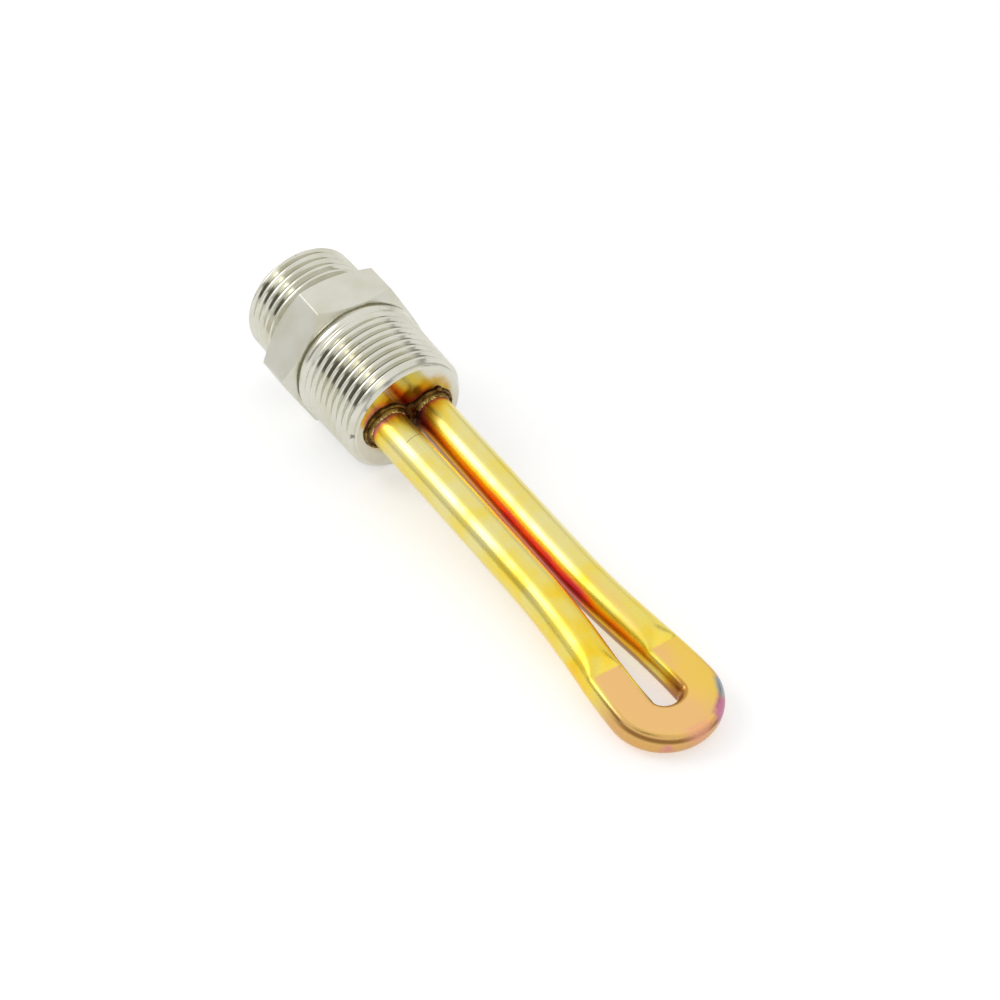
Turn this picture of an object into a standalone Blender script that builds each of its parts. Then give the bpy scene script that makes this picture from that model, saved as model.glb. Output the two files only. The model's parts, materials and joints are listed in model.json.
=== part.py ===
"""Screw-in engine block heater, lying on a flat surface as it comes to rest.

A hexagon fitting carries a tapered pipe thread for the engine block, a connector thread and socket
for the supply cord, and a hairpin heating element whose return bend is pressed flat.

Everything is first placed in the heater's own frame: Z runs along it towards the return bend, with zero
at the fitting's end face, and the hairpin lies in the XZ plane. Two empties then lay it on the floor.
All lengths are in metres.
"""

import math

import bmesh
import bpy
from mathutils import Euler, Vector

# General fits
SEAT = 0.0003
OVERRUN = 0.0010
MERGE_DISTANCE = 0.00001

# Hexagon, 1 1/8 inch across flats
HEX_FLATS = 0.028575
HEX_LENGTH = 0.009525
HEX_FACE_RADIUS = 0.0142
HEX_CHAMFER = math.radians(30.0)
HEX_TURN = math.radians(3.2)

# Pipe thread, 3/4-14 taper
PIPE_PITCH = 0.0018143
PIPE_CREST_RADIUS = 0.0131
PIPE_TAPER_SLOPE = 1.0 / 32.0
PIPE_DEPTH = 0.00105
PIPE_CREST_FLAT = 0.00045
PIPE_ROOT_FLAT = 0.00015
PIPE_LENGTH = 0.0172
PIPE_RUNOUT = 0.0020
PIPE_LAST_ROOT = 0.0009
END_FACE_RADIUS = 0.01175

# Plain collar behind the pipe thread, and the relief cut between it and the hexagon
COLLAR_LENGTH = 0.0013
COLLAR_STEP = 0.00012
COLLAR_CHAMFER = 0.0004
RELIEF_LENGTH = 0.0007
RELIEF_RADIUS = 0.0129

# Connector thread for the cord's coupling nut
PLUG_PITCH = 0.0020
PLUG_CREST_RADIUS = 0.0127
PLUG_DEPTH = 0.0011
PLUG_CREST_FLAT = 0.00050
PLUG_ROOT_FLAT = 0.00020
PLUG_LENGTH = 0.0106
PLUG_NECK_LENGTH = 0.0017
PLUG_NECK_DROP = 0.00015
PLUG_CHAMFER = 0.0010
PLUG_LAST_ROOT = 0.0019

# Bores of the fitting
END_WALL = 0.0050
CHAMBER_RADIUS = 0.0100
SOCKET_RADIUS = 0.0105
SOCKET_DEPTH = 0.0170
SOCKET_CHAMFER = 0.0004

# Hairpin heating element
TUBE_RADIUS = 0.0040
TUBE_WALL = 0.00075
MOUTH_DEPTH = 0.0130
FACE_HALF_SPACING = 0.00503
PINCH_HALF_SPACING = 0.00460
SPREAD_START = 0.0470
SPREAD_EASE_SHARE = 1.15
BEND_HALF_WIDTH = 0.00688
BEND_START = 0.0787
BEND_LENGTH = 0.0057
CREASE_PLACE = 0.0702
PRESS_RAMP = 0.0026
PRESSED_HALF_WIDTH = 0.0042
BEND_TIP_HALF_WIDTH = 0.0039
PRESSED_HALF_HEIGHT = 0.0026

# Inside the element
MAGNESIA_BORE_RADIUS = 0.0020
COIL_WIRE_RADIUS = 0.00025
COIL_PITCH = 0.0075
COLD_PIN_RADIUS = 0.00125
COLD_PIN_REACH = 0.0130
END_SEAL_LENGTH = 0.0025

# Brazing round each leg
BRAZE_MEETING = 0.00042
BRAZE_HEIGHT = 0.0010
BRAZE_LIP = 0.0003

# Socket insert and contacts
CARRIER_THICKNESS = 0.0045
CARRIER_CHAMFER = 0.0005
CONTACT_RADIUS = 0.0020
CONTACT_REACH = 0.0085
CONTACT_BACK = 0.0015
CUP_DEPTH = 0.0040
GROUND_DROP = 0.0058
GROUND_EXTRA = 0.0015
GROUND_SEAT_DEPTH = 0.0020

# Facets
THREAD_SIDES = 28
TURNED_SIDES = 40
RING_SIDES = 20
PIN_SIDES = 16
SIDE_STEPS = 6
TOP_STEPS = 4
BEND_STEPS = 14
COIL_STEPS = 8
ARC_STEPS = 5
SMOOTH_ANGLE = math.radians(35.0)

# Places along the heater, from the end face back to the connector's rim
COLLAR_START = -PIPE_LENGTH
COLLAR_END = COLLAR_START - COLLAR_LENGTH
HEX_FRONT = COLLAR_END - RELIEF_LENGTH
HEX_BACK = HEX_FRONT - HEX_LENGTH
PLUG_START = HEX_BACK - PLUG_NECK_LENGTH
RIM = PLUG_START - PLUG_LENGTH
CHAMBER_TOP = -END_WALL
SHOULDER = RIM + SOCKET_DEPTH
CARRIER_FACE = SHOULDER - SEAT - CARRIER_THICKNESS


def clear_scene():
    for old in list(bpy.data.objects):
        bpy.data.objects.remove(old, do_unlink=True)


def new_collection(name):
    made = bpy.data.collections.new(name)
    bpy.context.scene.collection.children.link(made)
    return made


clear_scene()
PARTS = new_collection("engine_block_heater")
TOOLS = new_collection("cutters")


def add_empty(name, parent=None):
    empty = bpy.data.objects.new(name, None)
    PARTS.objects.link(empty)
    empty.parent = parent
    return empty


FLOOR_POSE = add_empty("floor_pose")
HEATER_AXIS = add_empty("heater_axis", FLOOR_POSE)
HEATER_AXIS.rotation_euler = Euler((math.pi / 2.0, 0.0, math.pi / 2.0), "XYZ")


def add_object(name, data, is_tool=False):
    made = bpy.data.objects.new(name, data)
    (TOOLS if is_tool else PARTS).objects.link(made)
    made.parent = HEATER_AXIS
    if is_tool:
        made.hide_render = True
        made.display_type = "WIRE"
    return made


def add_bmesh(name, shape, is_tool=False):
    mesh = bpy.data.meshes.new(name)
    shape.to_mesh(mesh)
    shape.free()
    return add_object(name, mesh, is_tool)


def add_turned(name, profile, sides, is_tool=False, closed=False):
    """Turn a profile of (radius, place) points round the heater's axis."""
    shape = bmesh.new()
    points = [shape.verts.new((radius, 0.0, place)) for radius, place in profile]
    for first, second in zip(points, points[1:]):
        shape.edges.new((first, second))
    if closed:
        shape.edges.new((points[-1], points[0]))
    turned = add_bmesh(name, shape, is_tool)
    screw = turned.modifiers.new("Turn", "SCREW")
    screw.steps = sides
    screw.render_steps = sides
    screw.use_merge_vertices = True
    screw.merge_threshold = MERGE_DISTANCE
    screw.use_smooth_shade = False
    return turned


def add_cylinder(name, radius, top, bottom, at, sides, is_tool=False):
    shape = bmesh.new()
    bmesh.ops.create_cone(
        shape, cap_ends=True, segments=sides, radius1=radius, radius2=radius, depth=top - bottom
    )
    bmesh.ops.translate(shape, verts=shape.verts, vec=(at[0], at[1], (top + bottom) / 2.0))
    return add_bmesh(name, shape, is_tool)


def combine(target, tool, operation):
    change = target.modifiers.new(tool.name, "BOOLEAN")
    change.operation = operation
    change.solver = "EXACT"
    change.object = tool


def finish(piece, material):
    """Fix the piece's modifiers in its mesh, shade its round faces smooth and colour it."""
    graph = bpy.context.evaluated_depsgraph_get()
    mesh = bpy.data.meshes.new_from_object(piece.evaluated_get(graph))
    piece.modifiers.clear()
    piece.data = mesh
    mesh.name = piece.name
    mesh.materials.clear()
    mesh.materials.append(material)
    mesh.shade_smooth()
    mesh.set_sharp_from_angle(angle=SMOOTH_ANGLE)


def metal_or_plastic(name, colour, roughness, metallic):
    material = bpy.data.materials.new(name)
    material.use_nodes = True
    shader = material.node_tree.nodes["Principled BSDF"]
    shader.inputs["Base Color"].default_value = (*colour, 1.0)
    shader.inputs["Roughness"].default_value = roughness
    shader.inputs["Metallic"].default_value = metallic
    return material


NICKEL = metal_or_plastic("nickel_plate", (0.72, 0.70, 0.64), 0.22, 1.0)
TINTED_STEEL = metal_or_plastic("heat_tinted_steel", (0.86, 0.70, 0.26), 0.28, 1.0)
BRAZE = metal_or_plastic("brazing_alloy", (0.24, 0.16, 0.07), 0.45, 1.0)
MAGNESIA = metal_or_plastic("pressed_magnesia", (0.86, 0.84, 0.78), 0.90, 0.0)
RESISTANCE_WIRE = metal_or_plastic("resistance_wire", (0.42, 0.40, 0.38), 0.40, 1.0)
PIN_STEEL = metal_or_plastic("pin_steel", (0.62, 0.62, 0.60), 0.30, 1.0)
SEAL_BEAD = metal_or_plastic("seal_bead", (0.70, 0.28, 0.16), 0.50, 0.0)
POTTING = metal_or_plastic("potting_resin", (0.10, 0.10, 0.10), 0.45, 0.0)
CARRIER_PLASTIC = metal_or_plastic("carrier_moulding", (0.07, 0.07, 0.07), 0.50, 0.0)


# The fitting

def pipe_crest_radius(place):
    """The taper thread grows away from the end face."""
    return PIPE_CREST_RADIUS - PIPE_TAPER_SLOPE * place


def pipe_depth_share(place):
    """The grooves run out against the collar."""
    return min(max((place - COLLAR_START) / PIPE_RUNOUT, 0.0), 1.0)


def plug_crest_radius(place):
    return PLUG_CREST_RADIUS


def full_depth_share(place):
    return 1.0


def add_threaded_rod(
    name, pitch, depth, crest_flat, root_flat, low, high, root_place, crest_radius, depth_share
):
    """A rod whose outside is a right-hand thread, longer than low to high.

    root_place is where a groove's bottom crosses the upper side, at 90 degrees round from X.
    """
    turns_below = math.ceil((root_place - low) / pitch) + 1
    start = root_place - turns_below * pitch
    columns = THREAD_SIDES * (math.ceil((high - start) / pitch) + 1)
    outline = (
        (-root_flat / 2.0, True),
        (root_flat / 2.0, True),
        ((pitch - crest_flat) / 2.0, False),
        ((pitch + crest_flat) / 2.0, False),
    )
    shape = bmesh.new()
    points = {}
    for column in range(columns + THREAD_SIDES + 1):
        turn = column / THREAD_SIDES
        angle = math.pi / 2.0 + 2.0 * math.pi * turn
        for line, (offset, in_root) in enumerate(outline):
            if line > 0 and column > columns:
                continue
            place = start + pitch * turn + offset
            radius = crest_radius(place)
            if in_root:
                radius -= depth * depth_share(place)
            points[column, line] = shape.verts.new(
                (radius * math.cos(angle), radius * math.sin(angle), place)
            )
    for column in range(columns + 1):
        points[column, len(outline)] = points[column + THREAD_SIDES, 0]
    for column in range(columns):
        for line in range(len(outline)):
            shape.faces.new((
                points[column, line],
                points[column + 1, line],
                points[column + 1, line + 1],
                points[column, line + 1],
            ))
    for end in (0, columns):
        helix = [points[end + step, 0] for step in range(THREAD_SIDES + 1)]
        step_back = [points[end, line] for line in range(len(outline) - 1, 0, -1)]
        loop = helix + step_back
        hub = shape.verts.new((0.0, 0.0, helix[0].co.z))
        for first, second in zip(loop, loop[1:] + loop[:1]):
            shape.faces.new((hub, first, second))
    bmesh.ops.recalc_face_normals(shape, faces=shape.faces)
    return add_bmesh(name, shape, is_tool=True)


def add_pipe_thread():
    thread = add_threaded_rod(
        "pipe_thread", PIPE_PITCH, PIPE_DEPTH, PIPE_CREST_FLAT, PIPE_ROOT_FLAT,
        COLLAR_START - OVERRUN, 0.0, -PIPE_LAST_ROOT, pipe_crest_radius, pipe_depth_share,
    )
    widest = pipe_crest_radius(COLLAR_START) + OVERRUN
    limit = add_turned("pipe_thread_limit", [
        (0.0, 0.0),
        (END_FACE_RADIUS, 0.0),
        (widest, END_FACE_RADIUS - widest),
        (widest, COLLAR_START - OVERRUN),
        (0.0, COLLAR_START - OVERRUN),
    ], TURNED_SIDES, is_tool=True)
    combine(thread, limit, "INTERSECT")
    return thread


def add_plug_thread():
    thread = add_threaded_rod(
        "plug_thread", PLUG_PITCH, PLUG_DEPTH, PLUG_CREST_FLAT, PLUG_ROOT_FLAT,
        RIM, PLUG_START, RIM + PLUG_LAST_ROOT, plug_crest_radius, full_depth_share,
    )
    widest = PLUG_CREST_RADIUS + OVERRUN
    limit = add_turned("plug_thread_limit", [
        (0.0, PLUG_START),
        (PLUG_CREST_RADIUS - PLUG_CHAMFER, PLUG_START),
        (widest, PLUG_START - PLUG_CHAMFER - OVERRUN),
        (widest, RIM + PLUG_CHAMFER + OVERRUN),
        (PLUG_CREST_RADIUS - PLUG_CHAMFER, RIM),
        (0.0, RIM),
    ], TURNED_SIDES, is_tool=True)
    combine(thread, limit, "INTERSECT")
    return thread


def add_hexagon():
    corner_radius = HEX_FLATS / math.sqrt(3.0)
    hexagon = add_cylinder("hexagon", corner_radius, HEX_FRONT, HEX_BACK, (0.0, 0.0), 6, is_tool=True)
    hexagon.rotation_euler.z = math.pi / 6.0 + HEX_TURN
    widest = corner_radius + OVERRUN
    slope = (widest - HEX_FACE_RADIUS) * math.tan(HEX_CHAMFER)
    limit = add_turned("hexagon_limit", [
        (0.0, HEX_FRONT + OVERRUN),
        (HEX_FACE_RADIUS - OVERRUN / math.tan(HEX_CHAMFER), HEX_FRONT + OVERRUN),
        (widest, HEX_FRONT - slope),
        (widest, HEX_BACK + slope),
        (HEX_FACE_RADIUS - OVERRUN / math.tan(HEX_CHAMFER), HEX_BACK - OVERRUN),
        (0.0, HEX_BACK - OVERRUN),
    ], TURNED_SIDES, is_tool=True)
    combine(hexagon, limit, "INTERSECT")
    return hexagon


def add_fitting():
    """Turn the blank, add the hexagon and both threads, then bore it from the connector's end."""
    collar_radius = pipe_crest_radius(COLLAR_START) + COLLAR_STEP
    neck_radius = PLUG_CREST_RADIUS - PLUG_DEPTH - PLUG_NECK_DROP
    fitting = add_turned("fitting_body", [
        (0.0, COLLAR_START),
        (collar_radius - COLLAR_CHAMFER, COLLAR_START),
        (collar_radius, COLLAR_START - COLLAR_CHAMFER),
        (collar_radius, COLLAR_END + COLLAR_CHAMFER),
        (collar_radius - COLLAR_CHAMFER, COLLAR_END),
        (RELIEF_RADIUS, COLLAR_END),
        (RELIEF_RADIUS, HEX_FRONT - OVERRUN),
        (neck_radius, HEX_BACK + OVERRUN),
        (neck_radius, PLUG_START - PLUG_PITCH),
        (0.0, PLUG_START - PLUG_PITCH),
    ], TURNED_SIDES)
    combine(fitting, add_hexagon(), "UNION")
    combine(fitting, add_pipe_thread(), "UNION")
    combine(fitting, add_plug_thread(), "UNION")
    bore = add_turned("fitting_bore", [
        (0.0, CHAMBER_TOP),
        (CHAMBER_RADIUS, CHAMBER_TOP),
        (CHAMBER_RADIUS, SHOULDER),
        (SOCKET_RADIUS, SHOULDER),
        (SOCKET_RADIUS, RIM + SOCKET_CHAMFER),
        (SOCKET_RADIUS + SOCKET_CHAMFER + OVERRUN, RIM - OVERRUN),
        (0.0, RIM - OVERRUN),
    ], TURNED_SIDES, is_tool=True)
    combine(fitting, bore, "DIFFERENCE")
    for side, sign in (("left", -1.0), ("right", 1.0)):
        leg_hole = add_cylinder(
            "leg_hole_" + side, TUBE_RADIUS + SEAT, OVERRUN, CHAMBER_TOP - OVERRUN,
            (sign * FACE_HALF_SPACING, 0.0), TURNED_SIDES, is_tool=True,
        )
        combine(fitting, leg_hole, "DIFFERENCE")
    ground_seat = add_cylinder(
        "ground_seat", CONTACT_RADIUS + SEAT, CHAMBER_TOP + GROUND_SEAT_DEPTH, CHAMBER_TOP - OVERRUN,
        (0.0, -GROUND_DROP), PIN_SIDES, is_tool=True,
    )
    combine(fitting, ground_seat, "DIFFERENCE")
    finish(fitting, NICKEL)


# The hairpin: stations along its centre line, and the layers swept along them

class Station:
    """A place on the hairpin's centre line: where it is, which way is sideways, how far it is pressed."""

    def __init__(self, centre, ahead, widen_share, press_share, tip_share):
        self.centre = centre
        self.side = Vector((ahead.z, 0.0, -ahead.x))
        pressed_width = PRESSED_HALF_WIDTH + tip_share * (BEND_TIP_HALF_WIDTH - PRESSED_HALF_WIDTH)
        self.half_width = TUBE_RADIUS + widen_share * (pressed_width - TUBE_RADIUS)
        self.half_height = TUBE_RADIUS + press_share * (PRESSED_HALF_HEIGHT - TUBE_RADIUS)


def half_spacing(place):
    """Half the distance between the legs: a slight pinch, then a smooth spread to the bend."""
    pinch = min(max(place / SPREAD_START, 0.0), 1.0)
    pinch_share = pinch * (2.0 - pinch)
    spread = min(max((place - SPREAD_START) / (BEND_START - SPREAD_START), 0.0), 1.0) ** SPREAD_EASE_SHARE
    spread_share = spread * spread * (3.0 - 2.0 * spread)
    return (
        FACE_HALF_SPACING
        + pinch_share * (PINCH_HALF_SPACING - FACE_HALF_SPACING)
        + spread_share * (BEND_HALF_WIDTH - PINCH_HALF_SPACING)
    )


def leg_places(fineness):
    """Places along one leg, closer together where it spreads and where it is pressed."""
    ramp_start = CREASE_PLACE - PRESS_RAMP
    stretches = (
        (-MOUTH_DEPTH, 0.0, 1),
        (0.0, SPREAD_START, 2 * fineness),
        (SPREAD_START, ramp_start, 4 * fineness),
        (ramp_start, CREASE_PLACE, 1),
        (CREASE_PLACE, BEND_START, 2 * fineness),
    )
    places = [-MOUTH_DEPTH]
    for first, last, steps in stretches:
        places += [first + (last - first) * (step + 1) / steps for step in range(steps)]
    return places


def leg_shares(place):
    beyond = place - CREASE_PLACE + PRESS_RAMP
    press_share = min(max(beyond / PRESS_RAMP, 0.0), 1.0)
    widen_share = min(max(beyond / (BEND_START - CREASE_PLACE + PRESS_RAMP), 0.0), 1.0)
    return widen_share, press_share


def hairpin_stations(fineness, start=-MOUTH_DEPTH):
    """The whole centre line, from the left mouth round the bend to the right mouth."""
    places = [place for place in leg_places(fineness) if place > start]
    places = [start] + places
    points = [
        (Vector((-half_spacing(place), 0.0, place)), *leg_shares(place), 0.0)
        for place in places
    ]
    bend_steps = BEND_STEPS * fineness // 2
    for step in range(1, bend_steps):
        angle = math.pi * step / bend_steps
        centre = Vector((
            -BEND_HALF_WIDTH * math.cos(angle), 0.0, BEND_START + BEND_LENGTH * math.sin(angle)
        ))
        points.append((centre, 1.0, 1.0, math.sin(angle)))
    points += [
        (Vector((half_spacing(place), 0.0, place)), *leg_shares(place), 0.0)
        for place in reversed(places)
    ]
    stations = []
    for index, (centre, widen_share, press_share, tip_share) in enumerate(points):
        before = points[max(index - 1, 0)][0]
        after = points[min(index + 1, len(points) - 1)][0]
        ahead = (after - before).normalized()
        stations.append(Station(centre, ahead, widen_share, press_share, tip_share))
    return stations


def section_points(station, inset, side_steps, top_steps):
    """A round section whose top and bottom are pressed flat, drawn inset below the tube's outer skin."""
    radius = station.half_width - inset
    height = station.half_height - inset
    corner = math.asin(height / radius) if height < radius else math.pi / 4.0
    side_angles = [-corner + 2.0 * corner * step / side_steps for step in range(side_steps + 1)]
    top_angles = [corner + (math.pi - 2.0 * corner) * step / top_steps for step in range(1, top_steps)]
    angles = side_angles + top_angles
    angles += [angle + math.pi for angle in side_angles]
    angles += [angle + math.pi for angle in top_angles]
    points = []
    for angle in angles:
        across = radius * math.cos(angle)
        up = min(max(radius * math.sin(angle), -height), height)
        points.append(station.centre + station.side * across + Vector((0.0, up, 0.0)))
    return points


def add_sweep(name, stations, inset, side_steps, top_steps, is_tool=False):
    """Loft a closed solid through the pressed sections of all stations."""
    shape = bmesh.new()
    rings = [
        [shape.verts.new(point) for point in section_points(station, inset, side_steps, top_steps)]
        for station in stations
    ]
    for ring, following in zip(rings, rings[1:]):
        count = len(ring)
        for corner in range(count):
            beside = (corner + 1) % count
            shape.faces.new((ring[corner], ring[beside], following[corner]))
            shape.faces.new((ring[beside], following[beside], following[corner]))
    shape.faces.new(rings[0])
    shape.faces.new(rings[-1])
    bmesh.ops.recalc_face_normals(shape, faces=shape.faces)
    return add_bmesh(name, shape, is_tool)


def run_past_ends(stations):
    """The same centre line, made longer at both ends for a cutter."""
    longer = list(stations)
    along = Vector((0.0, 0.0, 1.0))
    for end in (0, -1):
        station = Station(stations[end].centre - OVERRUN * along, along, 0.0, 0.0, 0.0)
        station.side = stations[end].side
        longer.insert(0 if end == 0 else len(longer), station)
    return longer


def add_sheath():
    fine = hairpin_stations(fineness=2)
    coarse = hairpin_stations(fineness=1)
    sheath = add_sweep("heater_sheath", fine, 0.0, SIDE_STEPS, TOP_STEPS)
    bore = add_sweep(
        "sheath_bore", run_past_ends(coarse), TUBE_WALL, SIDE_STEPS // 2, TOP_STEPS // 2, is_tool=True
    )
    combine(sheath, bore, "DIFFERENCE")
    finish(sheath, TINTED_STEEL)


def add_magnesia():
    """Powder pressed hard between the sheath and the coil, behind the end seals."""
    stations = hairpin_stations(fineness=1, start=-MOUTH_DEPTH + END_SEAL_LENGTH + SEAT)
    magnesia = add_sweep("magnesia_fill", stations, TUBE_WALL + SEAT, SIDE_STEPS // 2, TOP_STEPS // 2)
    bore = add_sweep(
        "magnesia_bore", run_past_ends(stations), TUBE_RADIUS - MAGNESIA_BORE_RADIUS,
        SIDE_STEPS // 2, TOP_STEPS // 2, is_tool=True,
    )
    combine(magnesia, bore, "DIFFERENCE")
    finish(magnesia, MAGNESIA)


def add_coil():
    """The resistance wire: one helix along the hairpin, squeezed with it where the bend is pressed."""
    stations = hairpin_stations(fineness=2, start=COLD_PIN_REACH + SEAT + COIL_WIRE_RADIUS)
    inset = TUBE_RADIUS - MAGNESIA_BORE_RADIUS + SEAT + COIL_WIRE_RADIUS
    lengths = [0.0]
    for first, second in zip(stations, stations[1:]):
        lengths.append(lengths[-1] + (second.centre - first.centre).length)
    points = []
    steps = int(COIL_STEPS * lengths[-1] / COIL_PITCH)
    index = 0
    for step in range(steps + 1):
        reached = lengths[-1] * step / steps
        while index < len(stations) - 2 and lengths[index + 1] < reached:
            index += 1
        share = (reached - lengths[index]) / (lengths[index + 1] - lengths[index])
        here, there = stations[index], stations[index + 1]
        angle = 2.0 * math.pi * reached / COIL_PITCH
        across = (here.half_width + share * (there.half_width - here.half_width) - inset) * math.cos(angle)
        up = (here.half_height + share * (there.half_height - here.half_height) - inset) * math.sin(angle)
        side = here.side.lerp(there.side, share).normalized()
        points.append(here.centre.lerp(there.centre, share) + side * across + Vector((0.0, up, 0.0)))
    curve = bpy.data.curves.new("heating_coil", "CURVE")
    curve.dimensions = "3D"
    curve.bevel_depth = COIL_WIRE_RADIUS
    curve.bevel_resolution = 1
    curve.use_fill_caps = True
    spline = curve.splines.new("POLY")
    spline.points.add(len(points) - 1)
    for knot, point in zip(spline.points, points):
        knot.co = (*point, 1.0)
    curve.materials.append(RESISTANCE_WIRE)
    add_object("heating_coil", curve)


# Pins, seals and fillings

def add_cold_pins_and_seals():
    """Each cold pin joins a contact's cup to the coil, through the bead that closes the sheath's mouth."""
    cup_bottom = SHOULDER + CONTACT_BACK - CUP_DEPTH
    for side, sign in (("left", -1.0), ("right", 1.0)):
        at = (sign * FACE_HALF_SPACING, 0.0)
        pin = add_cylinder(
            "cold_pin_" + side, COLD_PIN_RADIUS, 0.0, cup_bottom + SEAT, at, PIN_SIDES
        )
        lean = half_spacing(COLD_PIN_REACH) - FACE_HALF_SPACING
        reach = add_cylinder(
            "cold_pin_tip_" + side, COLD_PIN_RADIUS, COLD_PIN_REACH, -OVERRUN, at, PIN_SIDES, is_tool=True
        )
        for vertex in reach.data.vertices:
            if vertex.co.z > 0.0:
                vertex.co.x += sign * lean
        combine(pin, reach, "UNION")
        finish(pin, PIN_STEEL)
        seal = add_turned("end_seal_" + side, [
            (COLD_PIN_RADIUS + SEAT, -MOUTH_DEPTH + END_SEAL_LENGTH),
            (TUBE_RADIUS - TUBE_WALL - SEAT, -MOUTH_DEPTH + END_SEAL_LENGTH),
            (TUBE_RADIUS - TUBE_WALL - SEAT, -MOUTH_DEPTH),
            (COLD_PIN_RADIUS + SEAT, -MOUTH_DEPTH),
        ], PIN_SIDES, closed=True)
        finish(seal, SEAL_BEAD)
        seal.location.x = at[0]


def add_braze():
    """Brazing metal drawn up round both legs, run together between them."""
    inner = TUBE_RADIUS + SEAT
    outer = FACE_HALF_SPACING + BRAZE_MEETING
    hollow = [
        (
            outer - (outer - inner) * math.sin(math.pi / 2.0 * step / ARC_STEPS),
            SEAT + BRAZE_HEIGHT
            - (BRAZE_HEIGHT - BRAZE_LIP) * math.cos(math.pi / 2.0 * step / ARC_STEPS),
        )
        for step in range(ARC_STEPS, -1, -1)
    ]
    profile = hollow + [(outer, SEAT), (inner, SEAT)]
    rings = []
    for side, sign in (("left", -1.0), ("right", 1.0)):
        is_tool = side == "right"
        ring = add_turned("braze_" + side, profile, RING_SIDES, is_tool=is_tool, closed=True)
        ring.location.x = sign * FACE_HALF_SPACING
        rings.append(ring)
    braze, other = rings
    braze.name = "braze_fillet"
    combine(braze, other, "UNION")
    finish(braze, BRAZE)


def add_contact(name, at, back, reach, cup_depth):
    """A round contact with a domed tip, and a cup at its back where a cold pin enters."""
    tip = CARRIER_FACE - reach
    dome = [
        (
            CONTACT_RADIUS * math.cos(math.pi / 2.0 * step / ARC_STEPS),
            tip + CONTACT_RADIUS * (1.0 - math.sin(math.pi / 2.0 * step / ARC_STEPS)),
        )
        for step in range(ARC_STEPS)
    ]
    profile = [(0.0, back)]
    if cup_depth:
        profile = [(0.0, back - cup_depth)]
        profile += [(COLD_PIN_RADIUS + SEAT, back - cup_depth), (COLD_PIN_RADIUS + SEAT, back)]
    profile += [(CONTACT_RADIUS, back)] + dome + [(0.0, tip)]
    contact = add_turned(name, profile, PIN_SIDES)
    finish(contact, PIN_STEEL)
    contact.location = (at[0], at[1], 0.0)


def add_contacts():
    for side, sign in (("left", -1.0), ("right", 1.0)):
        add_contact(
            "contact_pin_" + side, (sign * FACE_HALF_SPACING, 0.0), SHOULDER + CONTACT_BACK,
            CONTACT_REACH, CUP_DEPTH,
        )
    add_contact(
        "ground_pin", (0.0, -GROUND_DROP), CHAMBER_TOP + GROUND_SEAT_DEPTH - SEAT,
        CONTACT_REACH + GROUND_EXTRA, 0.0,
    )


def drill_for_contacts(target, top, bottom):
    places = (
        ("left", -FACE_HALF_SPACING, 0.0),
        ("right", FACE_HALF_SPACING, 0.0),
        ("ground", 0.0, -GROUND_DROP),
    )
    for side, across, up in places:
        hole = add_cylinder(
            target.name + "_hole_" + side, CONTACT_RADIUS + SEAT, top, bottom, (across, up),
            PIN_SIDES, is_tool=True,
        )
        combine(target, hole, "DIFFERENCE")


def add_carrier():
    radius = SOCKET_RADIUS - SEAT
    carrier = add_turned("contact_carrier", [
        (0.0, SHOULDER - SEAT),
        (radius, SHOULDER - SEAT),
        (radius, CARRIER_FACE + CARRIER_CHAMFER),
        (radius - CARRIER_CHAMFER, CARRIER_FACE),
        (0.0, CARRIER_FACE),
    ], TURNED_SIDES)
    drill_for_contacts(carrier, SHOULDER + OVERRUN, CARRIER_FACE - OVERRUN)
    finish(carrier, CARRIER_PLASTIC)


def add_potting():
    """Resin cast round the element's mouths and the pins, from the end wall to the carrier."""
    radius = CHAMBER_RADIUS - SEAT
    top = CHAMBER_TOP - SEAT
    potting = add_turned("potting_compound", [
        (0.0, top),
        (radius, top),
        (radius, SHOULDER),
        (0.0, SHOULDER),
    ], TURNED_SIDES)
    ground = add_cylinder(
        "potting_ground_hole", CONTACT_RADIUS + SEAT, top + OVERRUN, SHOULDER - OVERRUN,
        (0.0, -GROUND_DROP), PIN_SIDES, is_tool=True,
    )
    combine(potting, ground, "DIFFERENCE")
    for side, sign in (("left", -1.0), ("right", 1.0)):
        hollow = add_turned("potting_hollow_" + side, [
            (0.0, top + OVERRUN),
            (TUBE_RADIUS + SEAT, top + OVERRUN),
            (TUBE_RADIUS + SEAT, -MOUTH_DEPTH - SEAT),
            (COLD_PIN_RADIUS + SEAT, -MOUTH_DEPTH - SEAT),
            (COLD_PIN_RADIUS + SEAT, SHOULDER + CONTACT_BACK + SEAT),
            (CONTACT_RADIUS + SEAT, SHOULDER + CONTACT_BACK + SEAT),
            (CONTACT_RADIUS + SEAT, SHOULDER - OVERRUN),
            (0.0, SHOULDER - OVERRUN),
        ], PIN_SIDES, is_tool=True)
        hollow.location.x = sign * FACE_HALF_SPACING
        combine(potting, hollow, "DIFFERENCE")
    finish(potting, POTTING)


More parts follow.
